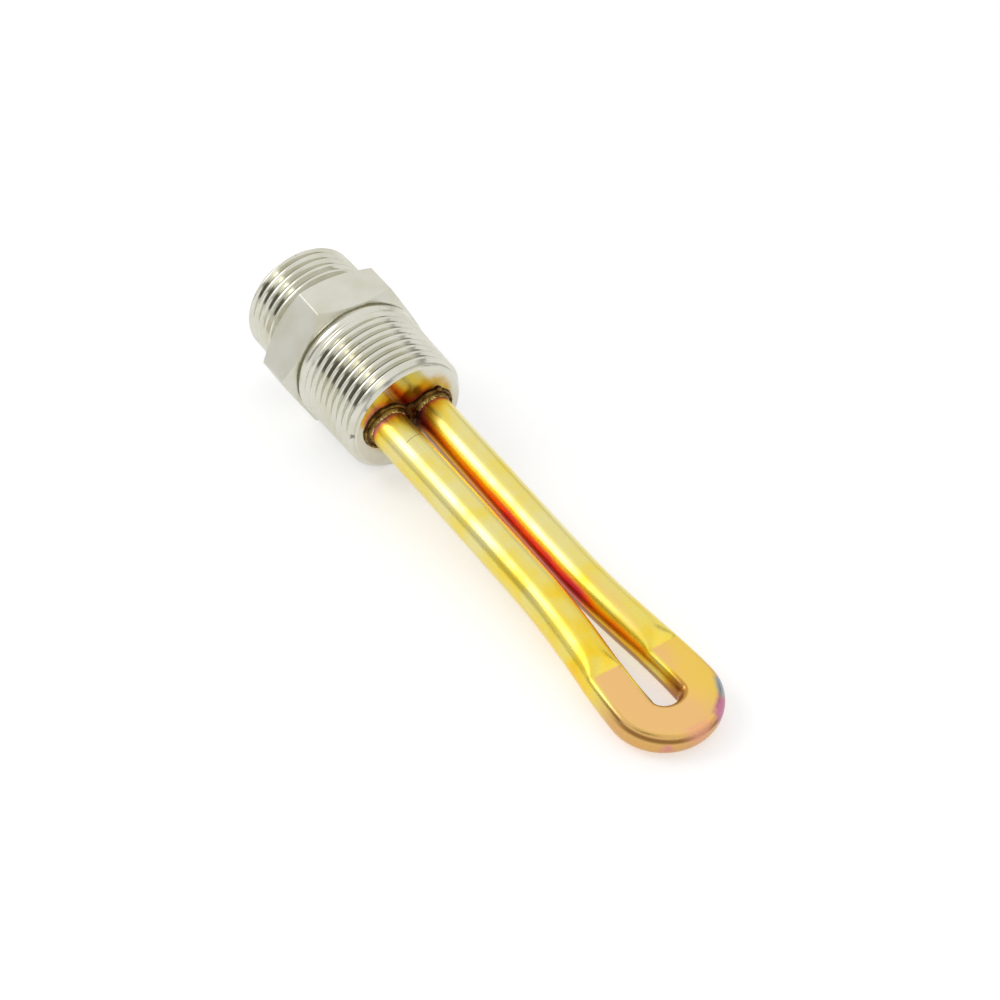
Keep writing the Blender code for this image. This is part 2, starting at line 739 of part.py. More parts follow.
def lay_on_floor():
    """Tip the heater nose down until the thread's rim and the pressed bend both touch, then centre it."""
    chamfer = PIPE_CREST_RADIUS - END_FACE_RADIUS
    flat_reach = math.sqrt(BEND_TIP_HALF_WIDTH ** 2 - PRESSED_HALF_HEIGHT ** 2)
    fall = pipe_crest_radius(-chamfer) - PRESSED_HALF_HEIGHT
    run = BEND_START + BEND_LENGTH + flat_reach + chamfer
    FLOOR_POSE.rotation_euler = Euler((0.0, math.atan2(fall, run), 0.0), "XYZ")
    bpy.context.view_layer.update()
    graph = bpy.context.evaluated_depsgraph_get()
    low = Vector((math.inf, math.inf, math.inf))
    high = -low
    for piece in PARTS.objects:
        if piece.type == "EMPTY":
            continue
        placed = piece.evaluated_get(graph)
        mesh = placed.to_mesh()
        for vertex in mesh.vertices:
            spot = placed.matrix_world @ vertex.co
            low = Vector(map(min, low, spot))
            high = Vector(map(max, high, spot))
        placed.to_mesh_clear()
    FLOOR_POSE.location = (-(low.x + high.x) / 2.0, -(low.y + high.y) / 2.0, -low.z)
    bpy.context.view_layer.update()


add_fitting()
add_sheath()
add_magnesia()
add_coil()
add_cold_pins_and_seals()
add_braze()
add_carrier()
add_contacts()
add_potting()
lay_on_floor()
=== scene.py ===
import json
import math

import bmesh
import bpy
from mathutils import Matrix, Quaternion, Vector, noise


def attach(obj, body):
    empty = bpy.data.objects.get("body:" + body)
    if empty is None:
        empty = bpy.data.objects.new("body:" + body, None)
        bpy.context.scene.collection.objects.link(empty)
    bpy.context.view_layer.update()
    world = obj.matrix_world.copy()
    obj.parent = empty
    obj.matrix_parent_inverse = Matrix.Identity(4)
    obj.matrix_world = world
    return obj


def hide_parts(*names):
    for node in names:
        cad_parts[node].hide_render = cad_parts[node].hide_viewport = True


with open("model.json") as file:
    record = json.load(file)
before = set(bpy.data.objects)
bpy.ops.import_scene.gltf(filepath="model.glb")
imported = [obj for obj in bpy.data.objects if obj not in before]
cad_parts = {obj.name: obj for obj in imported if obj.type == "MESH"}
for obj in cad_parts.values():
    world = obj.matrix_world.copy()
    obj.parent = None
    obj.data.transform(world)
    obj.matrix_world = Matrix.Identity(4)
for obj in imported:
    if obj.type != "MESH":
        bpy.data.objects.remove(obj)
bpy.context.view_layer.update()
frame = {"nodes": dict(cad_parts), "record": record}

# How the heater lies
# It rests on its thread and on its bend, so its axis slopes. The frame's mounts give that axis. Every new
# piece is drawn in metres across the legs (x), up from them (y) and along them (z), from the end face.
mounts = {mount["name"]: mount for mount in frame["record"]["mounts"]}


def mount_place(name):
    return Vector(mounts[name]["pos_m"])


ALONG = -Vector(mounts["socket_rim"]["axis"]).normalized()
ACROSS = Vector((0.0, 1.0, 0.0))
UPWARD = ALONG.cross(ACROSS).normalized()
HEXAGON_MIDDLE = (mount_place("wrench_flat_top") + mount_place("wrench_flat_bottom")) / 2.0
fitting_vertices = frame["nodes"]["fitting_body"].data.vertices
end_face_reach = max((vertex.co - HEXAGON_MIDDLE).dot(ALONG) for vertex in fitting_vertices)
END_FACE = HEXAGON_MIDDLE + ALONG * end_face_reach
LAID = Matrix.Translation(END_FACE) @ Matrix((ACROSS, UPWARD, ALONG)).transposed().to_4x4()


def place_along(name):
    return (mount_place(name) - END_FACE).dot(ALONG)


# The fitting
# One turning of free-cutting steel bar, nickel plated all over. The hexagon is the bar's own, chamfered at
# both ends; the taper pipe thread, the relief, the connector thread and the socket are cut on the lathe.
PIPE_PITCH = 0.0018143
PIPE_CREST_RADIUS = 0.0131
PIPE_SLOPE = 1.0 / 32.0
PIPE_DEPTH = 0.00105
PIPE_CREST_FLAT = 0.00040
PIPE_ROOT_FLAT = 0.00015
PIPE_START = -0.0172
PIPE_RUNOUT = 0.0020
PIPE_LAST_ROOT = -0.0009
END_FACE_RADIUS = 0.01175
COLLAR_STEP = 0.00012
COLLAR_CHAMFER = 0.0003
COLLAR_END = PIPE_START - 0.0013
RELIEF_RADIUS = 0.0129
HEX_HALF_FLATS = (mount_place("wrench_flat_top") - mount_place("wrench_flat_bottom")).length / 2.0
HEX_HALF_LENGTH = 0.0047625
HEX_FACE_RADIUS = 0.0142
HEX_CORNER_EASE = 0.00007
HEX_CHAMFER = math.radians(30.0)
PLUG_PITCH = 0.0020
PLUG_CREST_RADIUS = 0.0127
PLUG_DEPTH = 0.0011
PLUG_CREST_FLAT = 0.00050
PLUG_ROOT_FLAT = 0.00020
PLUG_LENGTH = 0.0106
PLUG_NECK_DROP = 0.00015
PLUG_CHAMFER = 0.0010
PLUG_NECK_EASE = PLUG_CHAMFER * 0.2
PLUG_LAST_ROOT = 0.0019
SOCKET_RADIUS = 0.0105
SOCKET_DEPTH = 0.0170
SOCKET_CHAMFER = 0.0004
CHAMBER_RADIUS = 0.0100
CHAMBER_TOP = -0.0050
LEG_HALF_SPACING = 0.00503
TURNED_COLUMNS = 240
CORNER_HALF_ANGLE = math.radians(0.25)
SIXTH_TURN = math.pi / 3.0
SHARP_ANGLE = math.radians(34.0)
WELD = 0.000001

hexagon_place = (HEXAGON_MIDDLE - END_FACE).dot(ALONG)
HEX_FRONT = hexagon_place + HEX_HALF_LENGTH
HEX_BACK = hexagon_place - HEX_HALF_LENGTH
RIM = place_along("socket_rim")
PLUG_START = RIM + PLUG_LENGTH
SHOULDER = RIM + SOCKET_DEPTH
top_flat = LAID.to_3x3().inverted() @ Vector(mounts["wrench_flat_top"]["axis"])
HEX_TURN = math.atan2(-top_flat.x, top_flat.y)


def clamped(share):
    return min(max(share, 0.0), 1.0)


def smooth(share):
    return share * share * (3.0 - 2.0 * share)


def pipe_crest(place):
    """The taper thread grows away from the end face."""
    return PIPE_CREST_RADIUS - PIPE_SLOPE * place


def pipe_depth(place):
    """Its grooves run out against the collar."""
    return PIPE_DEPTH * clamped((place - PIPE_START) / PIPE_RUNOUT)


def pipe_limit(place):
    """The chamfer at the end face."""
    return END_FACE_RADIUS - place


def plug_crest(place):
    """The connector thread is straight."""
    return PLUG_CREST_RADIUS


def plug_depth(place):
    return PLUG_DEPTH


def plug_limit(place):
    """The chamfers at the rim and at the neck."""
    return PLUG_CREST_RADIUS - PLUG_CHAMFER + min(place - RIM, PLUG_START - place)


# A groove's shape: shares of its flank's run, and of its full depth. The two middle points of the flank lie
# just inside its rounded ends, and keep the straight part's shading flat.
ROOT_ROUNDING = (0.5, 0.99)
FLANK_POINTS = ((0.06, 0.93), (0.1134, 0.8775), (0.8966, 0.1075), (0.95, 0.055))
CREST_ROUNDING = ((0.02, 0.014), (0.10, 0.0))


def thread_outline(pitch, crest_flat, root_flat):
    """One groove from crest to crest: how far along from its root, and the share of the full depth there."""
    root_edge = root_flat / 2.0
    crest_edge = (pitch - crest_flat) / 2.0
    run = crest_edge - root_edge
    half = [(root_edge * ROOT_ROUNDING[0], ROOT_ROUNDING[1])]
    half += [(root_edge + share * run, depth) for share, depth in FLANK_POINTS]
    half += [(crest_edge + share * run, depth) for share, depth in CREST_ROUNDING]
    mirrored = [(-offset, depth) for offset, depth in reversed(half)]
    return [(-pitch / 2.0, 0.0)] + mirrored + [(0.0, 1.0)] + half


def depth_share_at(outline, pitch, offset):
    """The share of the depth at any place along the thread, by its distance from a root."""
    offset = (offset + pitch / 2.0) % pitch - pitch / 2.0
    points = outline + [(pitch / 2.0, 0.0)]
    for (first, first_share), (second, second_share) in zip(points, points[1:]):
        if first <= offset <= second:
            return first_share + (second_share - first_share) * (offset - first) / (second - first)
    return 0.0


def thread_column(angle, low, high, pitch, root_place, outline, crest, depth, limit):
    """Points up one side of a right-hand thread, from low to high, held under its chamfers."""
    lead = root_place + pitch * (angle / (2.0 * math.pi) - 0.25)

    def radius_at(place, share=None):
        if share is None:
            share = depth_share_at(outline, pitch, place - lead)
        return min(crest(place) - depth(place) * share, limit(place))

    first_turn = math.floor((low - root_place) / pitch) - 1
    last_turn = math.ceil((high - root_place) / pitch) + 1
    points = [(radius_at(low), low)]
    for turn in range(first_turn, last_turn + 1):
        for offset, share in outline:
            place = lead + pitch * turn + offset
            if place <= low:
                points.append((radius_at(low), low))
            elif place >= high:
                points.append((radius_at(high), high))
            else:
                points.append((radius_at(place, share), place))
    points.append((radius_at(high), high))
    return points


def hexagon_radius(angle):
    """Distance to the hexagon's side at this angle, with its corners just eased."""
    from_flat = (angle - HEX_TURN) % SIXTH_TURN - SIXTH_TURN / 2.0
    side = HEX_HALF_FLATS / math.cos(from_flat)
    return min(side, HEX_HALF_FLATS / math.cos(SIXTH_TURN / 2.0) - HEX_CORNER_EASE)


def fitting_column(angle):
    """The fitting's outline at one angle: its bore from the inside out, then its outside to the end face."""
    collar = pipe_crest(PIPE_START) + COLLAR_STEP
    neck = PLUG_CREST_RADIUS - PLUG_DEPTH - PLUG_NECK_DROP
    side = hexagon_radius(angle)
    chamfer = max(side - HEX_FACE_RADIUS, 0.0) * math.tan(HEX_CHAMFER)
    return [
        (0.0, CHAMBER_TOP),
        (CHAMBER_RADIUS, CHAMBER_TOP),
        (CHAMBER_RADIUS, SHOULDER),
        (SOCKET_RADIUS, SHOULDER),
        (SOCKET_RADIUS, RIM + SOCKET_CHAMFER),
        (SOCKET_RADIUS + SOCKET_CHAMFER, RIM),
        *thread_column(
            angle, RIM, PLUG_START, PLUG_PITCH, RIM + PLUG_LAST_ROOT,
            PLUG_OUTLINE, plug_crest, plug_depth, plug_limit,
        ),
        (neck, PLUG_START),
        (neck, HEX_BACK + PLUG_NECK_EASE),
        (neck + PLUG_NECK_EASE, HEX_BACK),
        (HEX_FACE_RADIUS, HEX_BACK),
        (side, HEX_BACK + chamfer),
        (side, HEX_FRONT - chamfer),
        (HEX_FACE_RADIUS, HEX_FRONT),
        (RELIEF_RADIUS + COLLAR_STEP, HEX_FRONT),
        (RELIEF_RADIUS, HEX_FRONT + COLLAR_STEP),
        (RELIEF_RADIUS, COLLAR_END),
        (collar - COLLAR_CHAMFER, COLLAR_END),
        (collar, COLLAR_END + COLLAR_CHAMFER),
        (collar, PIPE_START - COLLAR_CHAMFER),
        (collar - COLLAR_STEP, PIPE_START),
        *thread_column(
            angle, PIPE_START, 0.0, PIPE_PITCH, PIPE_LAST_ROOT,
            PIPE_OUTLINE, pipe_crest, pipe_depth, pipe_limit,
        ),
        (0.0, 0.0),
    ]


PLUG_OUTLINE = thread_outline(PLUG_PITCH, PLUG_CREST_FLAT, PLUG_ROOT_FLAT)
PIPE_OUTLINE = thread_outline(PIPE_PITCH, PIPE_CREST_FLAT, PIPE_ROOT_FLAT)


def skin_from_columns(columns):
    """Join neighbouring columns of points by faces, round to the first again, and weld what meets."""
    shape = bmesh.new()
    made = [[shape.verts.new(point) for point in column] for column in columns]
    for column, following in zip(made, made[1:]):
        for row in range(len(column) - 1):
            shape.faces.new((column[row], following[row], following[row + 1], column[row + 1]))
    bmesh.ops.remove_doubles(shape, verts=shape.verts, dist=WELD)
    bmesh.ops.dissolve_degenerate(shape, edges=shape.edges, dist=WELD)
    bmesh.ops.recalc_face_normals(shape, faces=shape.faces)
    return shape


def turned_columns(column_at, angles):
    columns = []
    for angle in angles:
        turn = Matrix.Rotation(angle, 3, "Z")
        columns.append([turn @ Vector((radius, 0.0, place)) for radius, place in column_at(angle)])
    return columns


def mesh_from(name, shape):
    """A mesh of this shape, which is let go."""
    mesh = bpy.data.meshes.new(name)
    shape.to_mesh(mesh)
    shape.free()
    return mesh


def add_object(name, data):
    made = bpy.data.objects.new(name, data)
    bpy.context.scene.collection.objects.link(made)
    return made


def add_piece(name, shape, material, slot, *nodes):
    """Lay a new piece as the heater lies, shade it and let it stand for its CAD nodes."""
    mesh = mesh_from(name, shape)
    drawn_at = mesh.attributes.new("drawn_at", "FLOAT_VECTOR", "POINT")
    drawn_at.data.foreach_set("vector", [length for vertex in mesh.vertices for length in vertex.co])
    mesh.transform(LAID)
    mesh.materials.append(material)
    mesh.shade_smooth()
    mesh.set_sharp_from_angle(angle=SHARP_ANGLE)
    piece = add_object(name, mesh)
    even = piece.modifiers.new("Even shading", "WEIGHTED_NORMAL")
    even.keep_sharp = True
    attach(piece, "root")
    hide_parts(*nodes)


# Shader building
# A value is a number, a colour, a vector or what another node gives.
FLOAT = "NodeSocketFloat"
VECTOR = "NodeSocketVector"


def fill(tree, socket, value):
    """Link what another node gives, or set a plain value."""
    if isinstance(value, bpy.types.NodeSocket):
        tree.links.new(value, socket)
    else:
        socket.default_value = value


def put(tree, kind, inputs=(), **settings):
    """Add a node, set its options, and set or link its inputs."""
    made = tree.nodes.new(kind)
    for key, value in settings.items():
        setattr(made, key, value)
    for key, value in dict(inputs).items():
        fill(tree, made.inputs[key], value)
    return made


def reckon(tree, operation, *values, clamp=False):
    return put(tree, "ShaderNodeMath", enumerate(values), operation=operation, use_clamp=clamp).outputs[0]


def plus(tree, first, second):
    return reckon(tree, "ADD", first, second)


def minus(tree, first, second):
    return reckon(tree, "SUBTRACT", first, second)


def times(tree, first, second):
    return reckon(tree, "MULTIPLY", first, second)


def either(tree, first, second):
    """The larger of two masks."""
    return reckon(tree, "MAXIMUM", first, second)


def size_of(tree, value):
    return reckon(tree, "ABSOLUTE", value)


def swing(tree, noise_value, amount):
    """A noise as a shift of up to half the amount either way."""
    return times(tree, minus(tree, noise_value, 0.5), amount)


def ease_between(tree, value, start, end):
    """From 0 at start to 1 at end, smoothly."""
    made = put(tree, "ShaderNodeMapRange", {
        "Value": value, "From Min": start, "From Max": end, "To Min": 0.0, "To Max": 1.0,
    }, interpolation_type="SMOOTHSTEP")
    return made.outputs["Result"]


def graded(tree, value, start, end, amount):
    """From 0 at start to the amount at end, smoothly."""
    return times(tree, ease_between(tree, value, start, end), amount)


def where_all(tree, first, *others):
    """Where several smooth changes hold at once, each given as a value, its start and its end."""
    mask = ease_between(tree, *first)
    for change in others:
        mask = times(tree, mask, ease_between(tree, *change))
    return mask


def mix_colour(tree, share, first, second):
    return put(tree, "ShaderNodeMix", {0: share, 6: first, 7: second}, data_type="RGBA").outputs[2]


def tint_over(tree, mask, strength, colour, tint):
    """Lay a tint of some strength over a colour where the mask is 1."""
    return mix_colour(tree, times(tree, mask, strength), colour, tint)


def vector_reckon(tree, operation, inputs, output=0):
    return put(tree, "ShaderNodeVectorMath", inputs, operation=operation).outputs[output]


def split(tree, place):
    """A place's three parts: across the legs, up from them and along them."""
    return put(tree, "ShaderNodeSeparateXYZ", {0: place}).outputs


def flat_vector(tree, across, up):
    return put(tree, "ShaderNodeCombineXYZ", {0: across, 1: up}).outputs[0]


def flat_length(tree, across, up):
    return vector_reckon(tree, "LENGTH", {0: flat_vector(tree, across, up)}, "Value")


def noise_at(tree, place, scale, detail, output="Fac"):
    made = put(tree, "ShaderNodeTexNoise", {"Vector": place, "Scale": scale, "Detail": detail})
    return made.outputs[output]


def long_noise(tree, place, scales, detail):
    """A noise with its own scale in each direction."""
    return noise_at(tree, put(tree, "ShaderNodeMapping", {0: place, "Scale": scales}).outputs[0], 1.0, detail)


def shaken(tree, place, scale, amount):
    """The place moved about by a fine noise, so that the edge of what follows it is ragged."""
    colour = noise_at(tree, place, scale, 2.0, output="Color")
    centred = vector_reckon(tree, "SUBTRACT", {0: colour, 1: (0.5, 0.5, 0.5)})
    shift = vector_reckon(tree, "SCALE", {0: centred, "Scale": amount})
    return vector_reckon(tree, "ADD", {0: place, 1: shift})


def near_spot(tree, place, spot, far, close):
    """1 within close of a spot, falling to 0 at far."""
    return ease_between(tree, vector_reckon(tree, "DISTANCE", {0: place, 1: spot}, "Value"), far, close)


def stored(tree, name, output="Fac"):
    """What a piece's vertices carry under this name."""
    return put(tree, "ShaderNodeAttribute", attribute_name=name).outputs[output]


def set_gloss(tree, shader, noise_value, smoothest, roughest, low=0.3, high=0.7):
    """Let a noise carry the roughness, from smoothest where it is low to roughest where it is high."""
    made = put(tree, "ShaderNodeMapRange", {
        "Value": noise_value, "From Min": low, "From Max": high, "To Min": smoothest, "To Max": roughest,
    })
    tree.links.new(made.outputs["Result"], shader["Roughness"])


def set_bump(tree, shader, height, strength, distance):
    made = put(tree, "ShaderNodeBump", {"Height": height, "Strength": strength, "Distance": distance})
    tree.links.new(made.outputs[0], shader["Normal"])


def new_group(name, inputs, outputs):
    """A shader group with sockets named with their kinds: returns its tree, and its inner ends."""
    tree = bpy.data.node_groups.new(name, "ShaderNodeTree")
    for way, sockets in (("INPUT", inputs), ("OUTPUT", outputs)):
        for socket, kind in sockets.items():
            tree.interface.new_socket(socket, in_out=way, socket_type=kind)
    return tree, tree.nodes.new("NodeGroupInput").outputs, tree.nodes.new("NodeGroupOutput").inputs


def use(tree, group, inputs):
    return put(tree, "ShaderNodeGroup", inputs, node_tree=group).outputs


def new_material(name, metallic=1.0, is_laid=True):
    """A material, its tree and inputs, and the place its texture follows: drawn, or that of the CAD node."""
    material = bpy.data.materials.new(name)
    material.use_nodes = True
    tree = material.node_tree
    shader = tree.nodes["Principled BSDF"]
    shader.inputs["Metallic"].default_value = metallic
    if is_laid:
        place = stored(tree, "drawn_at", "Vector")
    else:
        place = tree.nodes.new("ShaderNodeTexCoord").outputs["Object"]
    return material, tree, shader.inputs, place


SPECK_EDGE = (0.13, 0.06)
STRONG_TINT = 0.85
FINE_RELIEF = 0.00001


def lathe_marks_group():
    """Fine rings left by the lathe: they follow the turning, and the rings on a face follow its radius."""
    tree, given, out = new_group(
        "Lathe marks", {"Place": VECTOR, "Rings": FLOAT, "Waver": FLOAT},
        {"Height": FLOAT, "Streaks": FLOAT},
    )
    across, up, along = split(tree, given["Place"])
    flat = flat_vector(tree, across, up)
    radius = vector_reckon(tree, "LENGTH", {0: flat}, "Value")
    round_it = vector_reckon(tree, "NORMALIZE", {0: flat})
    waver = vector_reckon(tree, "SCALE", {0: round_it, "Scale": given["Waver"]})
    run = times(tree, plus(tree, radius, along), given["Rings"])
    where = vector_reckon(tree, "ADD", {0: waver, 1: put(tree, "ShaderNodeCombineXYZ", {2: run}).outputs[0]})
    fine = put(tree, "ShaderNodeTexNoise", {"Vector": where, "Scale": 1.0, "Detail": 3.0, "Roughness": 0.6})
    tree.links.new(fine.outputs["Fac"], out["Height"])
    tree.links.new(noise_at(tree, where, scale=0.12, detail=2.0), out["Streaks"])
    return tree


def handling_specks_group():
    """Small dark specks and pits, sparse, where the plating or the tint is nicked."""
    tree, given, out = new_group(
        "Handling specks", {"Place": VECTOR, "Spacing": FLOAT, "Sparse": FLOAT}, {"Mask": FLOAT},
    )
    cells = put(tree, "ShaderNodeTexVoronoi", {"Vector": given["Place"], "Scale": given["Spacing"]})
    chance = put(tree, "ShaderNodeSeparateColor", {0: cells.outputs["Color"]}).outputs[0]
    few = reckon(tree, "GREATER_THAN", chance, given["Sparse"])
    near = ease_between(tree, cells.outputs["Distance"], *SPECK_EDGE)
    tree.links.new(times(tree, few, near), out["Mask"])
    return tree


LATHE_MARKS = lathe_marks_group()
HANDLING_SPECKS = handling_specks_group()

# Nickel plate: its colours, then its roughness, then where things are. A pair is where a smooth change
# starts and where it is complete.
NICKEL_COLOUR = (0.69, 0.68, 0.60, 1.0)
NICKEL_WARM = (0.62, 0.60, 0.49, 1.0)
# Painted shade for the thread roots; also the colour of the real pits and the nick
NICKEL_SHADE_AND_PIT = (0.10, 0.09, 0.06, 1.0)
# Painted reflection of the legs, and painted shade near and between them, on the end face
FACE_PAINTED_REFLECTION = (0.56, 0.37, 0.07, 1.0)
FACE_PAINTED_SHADE = (0.16, 0.080, 0.018, 1.0)
CREST_ROUGHNESS = 0.26
FLANK_ROUGHNESS = 0.13
FLAT_ROUGHNESS = 0.36
FACE_ROUGHNESS = 0.13
GLOSS_RIPPLE = 0.12
NICKEL_SPECK_TINT = 0.5
WARM_CLOUDS = (0.35, 0.75)
SHADED_ROOT_DEPTHS = (0.74, 0.94)
FLANK_DEPTHS = (0.00002, 0.00016)
ON_FACE = (-0.0004, -0.0001)
ON_HEXAGON = (HEX_FACE_RADIUS - 0.0002, HEX_FACE_RADIUS)
REFLECTION_UNEVEN = 0.0030
REFLECTION_LESS_UP = 0.16
REFLECTION_MORE_ASIDE = 0.55
REFLECTION_REACH = (0.0090, 0.0062)
FACE_SHADE_REACH = (0.0066, 0.0046)
FACE_SHADE_BETWEEN_LEGS = (0.0030, 0.0006, 0.0022)
NICK_SPOT = (-0.0124, -0.0003, -0.0008)
NICK_REACH = (0.00062, 0.00030)


def nickel_plate():
    material, tree, shader, place = new_material("Nickel plated steel")
    across, up, along = split(tree, place)
    radius = flat_length(tree, across, up)
    marks = use(tree, LATHE_MARKS, {"Place": place, "Rings": 11000.0, "Waver": 2.0})
    cloud = noise_at(tree, place, scale=160.0, detail=4.0)
    colour = mix_colour(tree, ease_between(tree, cloud, *WARM_CLOUDS), NICKEL_COLOUR, NICKEL_WARM)
    # Thread roots are darkened to near black: painted shade in the grooves
    crest = minus(tree, PIPE_CREST_RADIUS, times(tree, along, PIPE_SLOPE))
    in_pipe = where_all(
        tree, (along, PIPE_START, PIPE_START + PIPE_RUNOUT), (along, 0.0, -PIPE_RUNOUT),
    )
    in_plug = where_all(
        tree, (along, PLUG_START - PLUG_CHAMFER, PLUG_START - PLUG_PITCH),
        (radius, SOCKET_RADIUS + SOCKET_CHAMFER, SOCKET_RADIUS + PLUG_CHAMFER),
    )
    threads = (
        (minus(tree, crest, radius), PIPE_DEPTH, in_pipe),
        (minus(tree, PLUG_CREST_RADIUS, radius), PLUG_DEPTH, in_plug),
    )
    root_shade = either(tree, *(
        times(tree, ease_between(tree, sunk, depth * SHADED_ROOT_DEPTHS[0], depth * SHADED_ROOT_DEPTHS[1]), inside)
        for sunk, depth, inside in threads
    ))
    colour = tint_over(tree, root_shade, STRONG_TINT, colour, NICKEL_SHADE_AND_PIT)
    # A painted reflection of the gold legs lies on the end face round them, reaching further up from them
    # than out to the sides. Nearer the legs and between them is a painted shade in dark brown
    on_face = ease_between(tree, along, *ON_FACE)
    aside = minus(tree, size_of(tree, across), LEG_HALF_SPACING)
    reach = flat_length(tree, aside, up)
    reflection_noise = noise_at(tree, place, scale=330.0, detail=2.0)
    reach = plus(tree, reach, swing(tree, reflection_noise, REFLECTION_UNEVEN))
    reach = minus(tree, reach, times(tree, up, REFLECTION_LESS_UP))
    reach = plus(tree, reach, times(tree, either(tree, aside, 0.0), REFLECTION_MORE_ASIDE))
    between = graded(tree, size_of(tree, across), *FACE_SHADE_BETWEEN_LEGS)
    shade_reach = minus(tree, reach, between)
    colour = tint_over(tree, ease_between(tree, reach, *REFLECTION_REACH), on_face, colour, FACE_PAINTED_REFLECTION)
    colour = tint_over(tree, ease_between(tree, shade_reach, *FACE_SHADE_REACH), on_face, colour, FACE_PAINTED_SHADE)
    specks = use(tree, HANDLING_SPECKS, {"Place": place, "Spacing": 420.0, "Sparse": 0.93})["Mask"]
    nick = near_spot(tree, shaken(tree, place, scale=2100.0, amount=0.0016), NICK_SPOT, *NICK_REACH)
    marked = either(tree, times(tree, specks, NICKEL_SPECK_TINT), nick)
    colour = mix_colour(tree, marked, colour, NICKEL_SHADE_AND_PIT)
    tree.links.new(colour, shader["Base Color"])
    # Crests are scuffed by handling, flanks are as the tool left them, the hexagon's flats are satin
    on_flank = either(tree, *(
        times(tree, ease_between(tree, sunk, *FLANK_DEPTHS), inside) for sunk, depth, inside in threads
    ))
    on_hexagon = ease_between(tree, radius, *ON_HEXAGON)
    gloss = minus(tree, CREST_ROUGHNESS, times(tree, on_flank, CREST_ROUGHNESS - FLANK_ROUGHNESS))
    gloss = plus(tree, gloss, times(tree, on_hexagon, FLAT_ROUGHNESS - CREST_ROUGHNESS))
    gloss = minus(tree, gloss, times(tree, on_face, CREST_ROUGHNESS - FACE_ROUGHNESS))
    tree.links.new(plus(tree, gloss, swing(tree, marks["Streaks"], GLOSS_RIPPLE)), shader["Roughness"])
    set_bump(tree, shader, marks["Height"], strength=0.25, distance=FINE_RELIEF)
    return material


def turned_angles(count):
    """The angles of evenly turned columns, with the first one again at the end."""
    return [2.0 * math.pi * step / count for step in range(count + 1)]


corner_angles = []
for corner in range(6):
    middle = (HEX_TURN + SIXTH_TURN * corner) % (2.0 * math.pi)
    corner_angles += [middle - CORNER_HALF_ANGLE, middle + CORNER_HALF_ANGLE]
clear_of_corners = [
    angle for angle in turned_angles(TURNED_COLUMNS)
    if all(abs(angle - corner) > CORNER_HALF_ANGLE for corner in corner_angles)
]
fitting_angles = sorted(clear_of_corners + corner_angles)
add_piece(
    "fitting", skin_from_columns(turned_columns(fitting_column, fitting_angles)),
    nickel_plate(), "nickel_plate", "fitting_body",
)

# The hairpin sheath
# A drawn steel tube of 8 mm, filled and swaged, bent into a hairpin and pressed flat at the bend. It is
# brazed into the fitting's end wall, and that heat has tinted it from straw to orange and red.
TUBE_RADIUS = 0.0040
TUBE_WALL = 0.00075
MOUTH_DEPTH = 0.0130
PINCH_HALF_SPACING = 0.00460
SPREAD_START = 0.0470
SPREAD_EASE = 1.15
BEND_HALF_WIDTH = 0.00688
BEND_START = 0.0787
BEND_LENGTH = 0.00566
CREASE_PLACE = 0.0702
CREASE_RAMP = 0.0022
PRESSED_HALF_WIDTH = 0.0042
BEND_TIP_HALF_WIDTH = 0.0039
PRESSED_HALF_HEIGHT = 0.0026
PRESSED_EDGE_POWER = 5.0
SHEATH_SIDES = 96
LEG_STEP = 0.0011
CREASE_STEP = 0.00030
BEND_STEPS = 56


def half_spacing(place):
    """Half the distance between the legs: a slight pinch, then a smooth spread to the bend."""
    pinch = clamped(place / SPREAD_START)
    pinch_share = pinch * (2.0 - pinch)
    spread = clamped((place - SPREAD_START) / (BEND_START - SPREAD_START)) ** SPREAD_EASE
    return (
        LEG_HALF_SPACING
        + pinch_share * (PINCH_HALF_SPACING - LEG_HALF_SPACING)
        + smooth(spread) * (BEND_HALF_WIDTH - PINCH_HALF_SPACING)
    )


def leg_places():
    """Places along a leg from its mouth to the bend, close together at the crease."""
    places = [-MOUTH_DEPTH]
    stretches = (
        (-MOUTH_DEPTH, 0.0, MOUTH_DEPTH),
        (0.0, CREASE_PLACE - 2.0 * CREASE_RAMP, LEG_STEP),
        (CREASE_PLACE - 2.0 * CREASE_RAMP, CREASE_PLACE + CREASE_RAMP, CREASE_STEP),
        (CREASE_PLACE + CREASE_RAMP, BEND_START, LEG_STEP),
    )
    for first, last, step in stretches:
        count = math.ceil((last - first) / step)
        places += [first + (last - first) * (number + 1) / count for number in range(count)]
    return places


def pressed_size(place):
    """Half width and half height of the tube at a place on a leg."""
    before = CREASE_PLACE - place
    half_height = PRESSED_HALF_HEIGHT + max(before, 0.0) * (TUBE_RADIUS - PRESSED_HALF_HEIGHT) / CREASE_RAMP
    widened = 0.5 * smooth(clamped(1.0 - before / CREASE_RAMP))
    widened += 0.5 * clamped(-before / (BEND_START - CREASE_PLACE))
    return TUBE_RADIUS + widened * (PRESSED_HALF_WIDTH - TUBE_RADIUS), half_height


def hairpin_stations():
    """(centre, half width, half height) from the left mouth round the bend to the right mouth."""
    left = [(Vector((-half_spacing(place), 0.0, place)), *pressed_size(place)) for place in leg_places()]
    bend = []
    for step in range(1, BEND_STEPS):
        angle = math.pi * step / BEND_STEPS
        centre = Vector((-BEND_HALF_WIDTH * math.cos(angle), 0.0, BEND_START + BEND_LENGTH * math.sin(angle)))
        width = PRESSED_HALF_WIDTH + math.sin(angle) * (BEND_TIP_HALF_WIDTH - PRESSED_HALF_WIDTH)
        bend.append((centre, width, PRESSED_HALF_HEIGHT))
    right = [(Vector((-centre.x, 0.0, centre.z)), width, height) for centre, width, height in reversed(left)]
    return left + bend + right


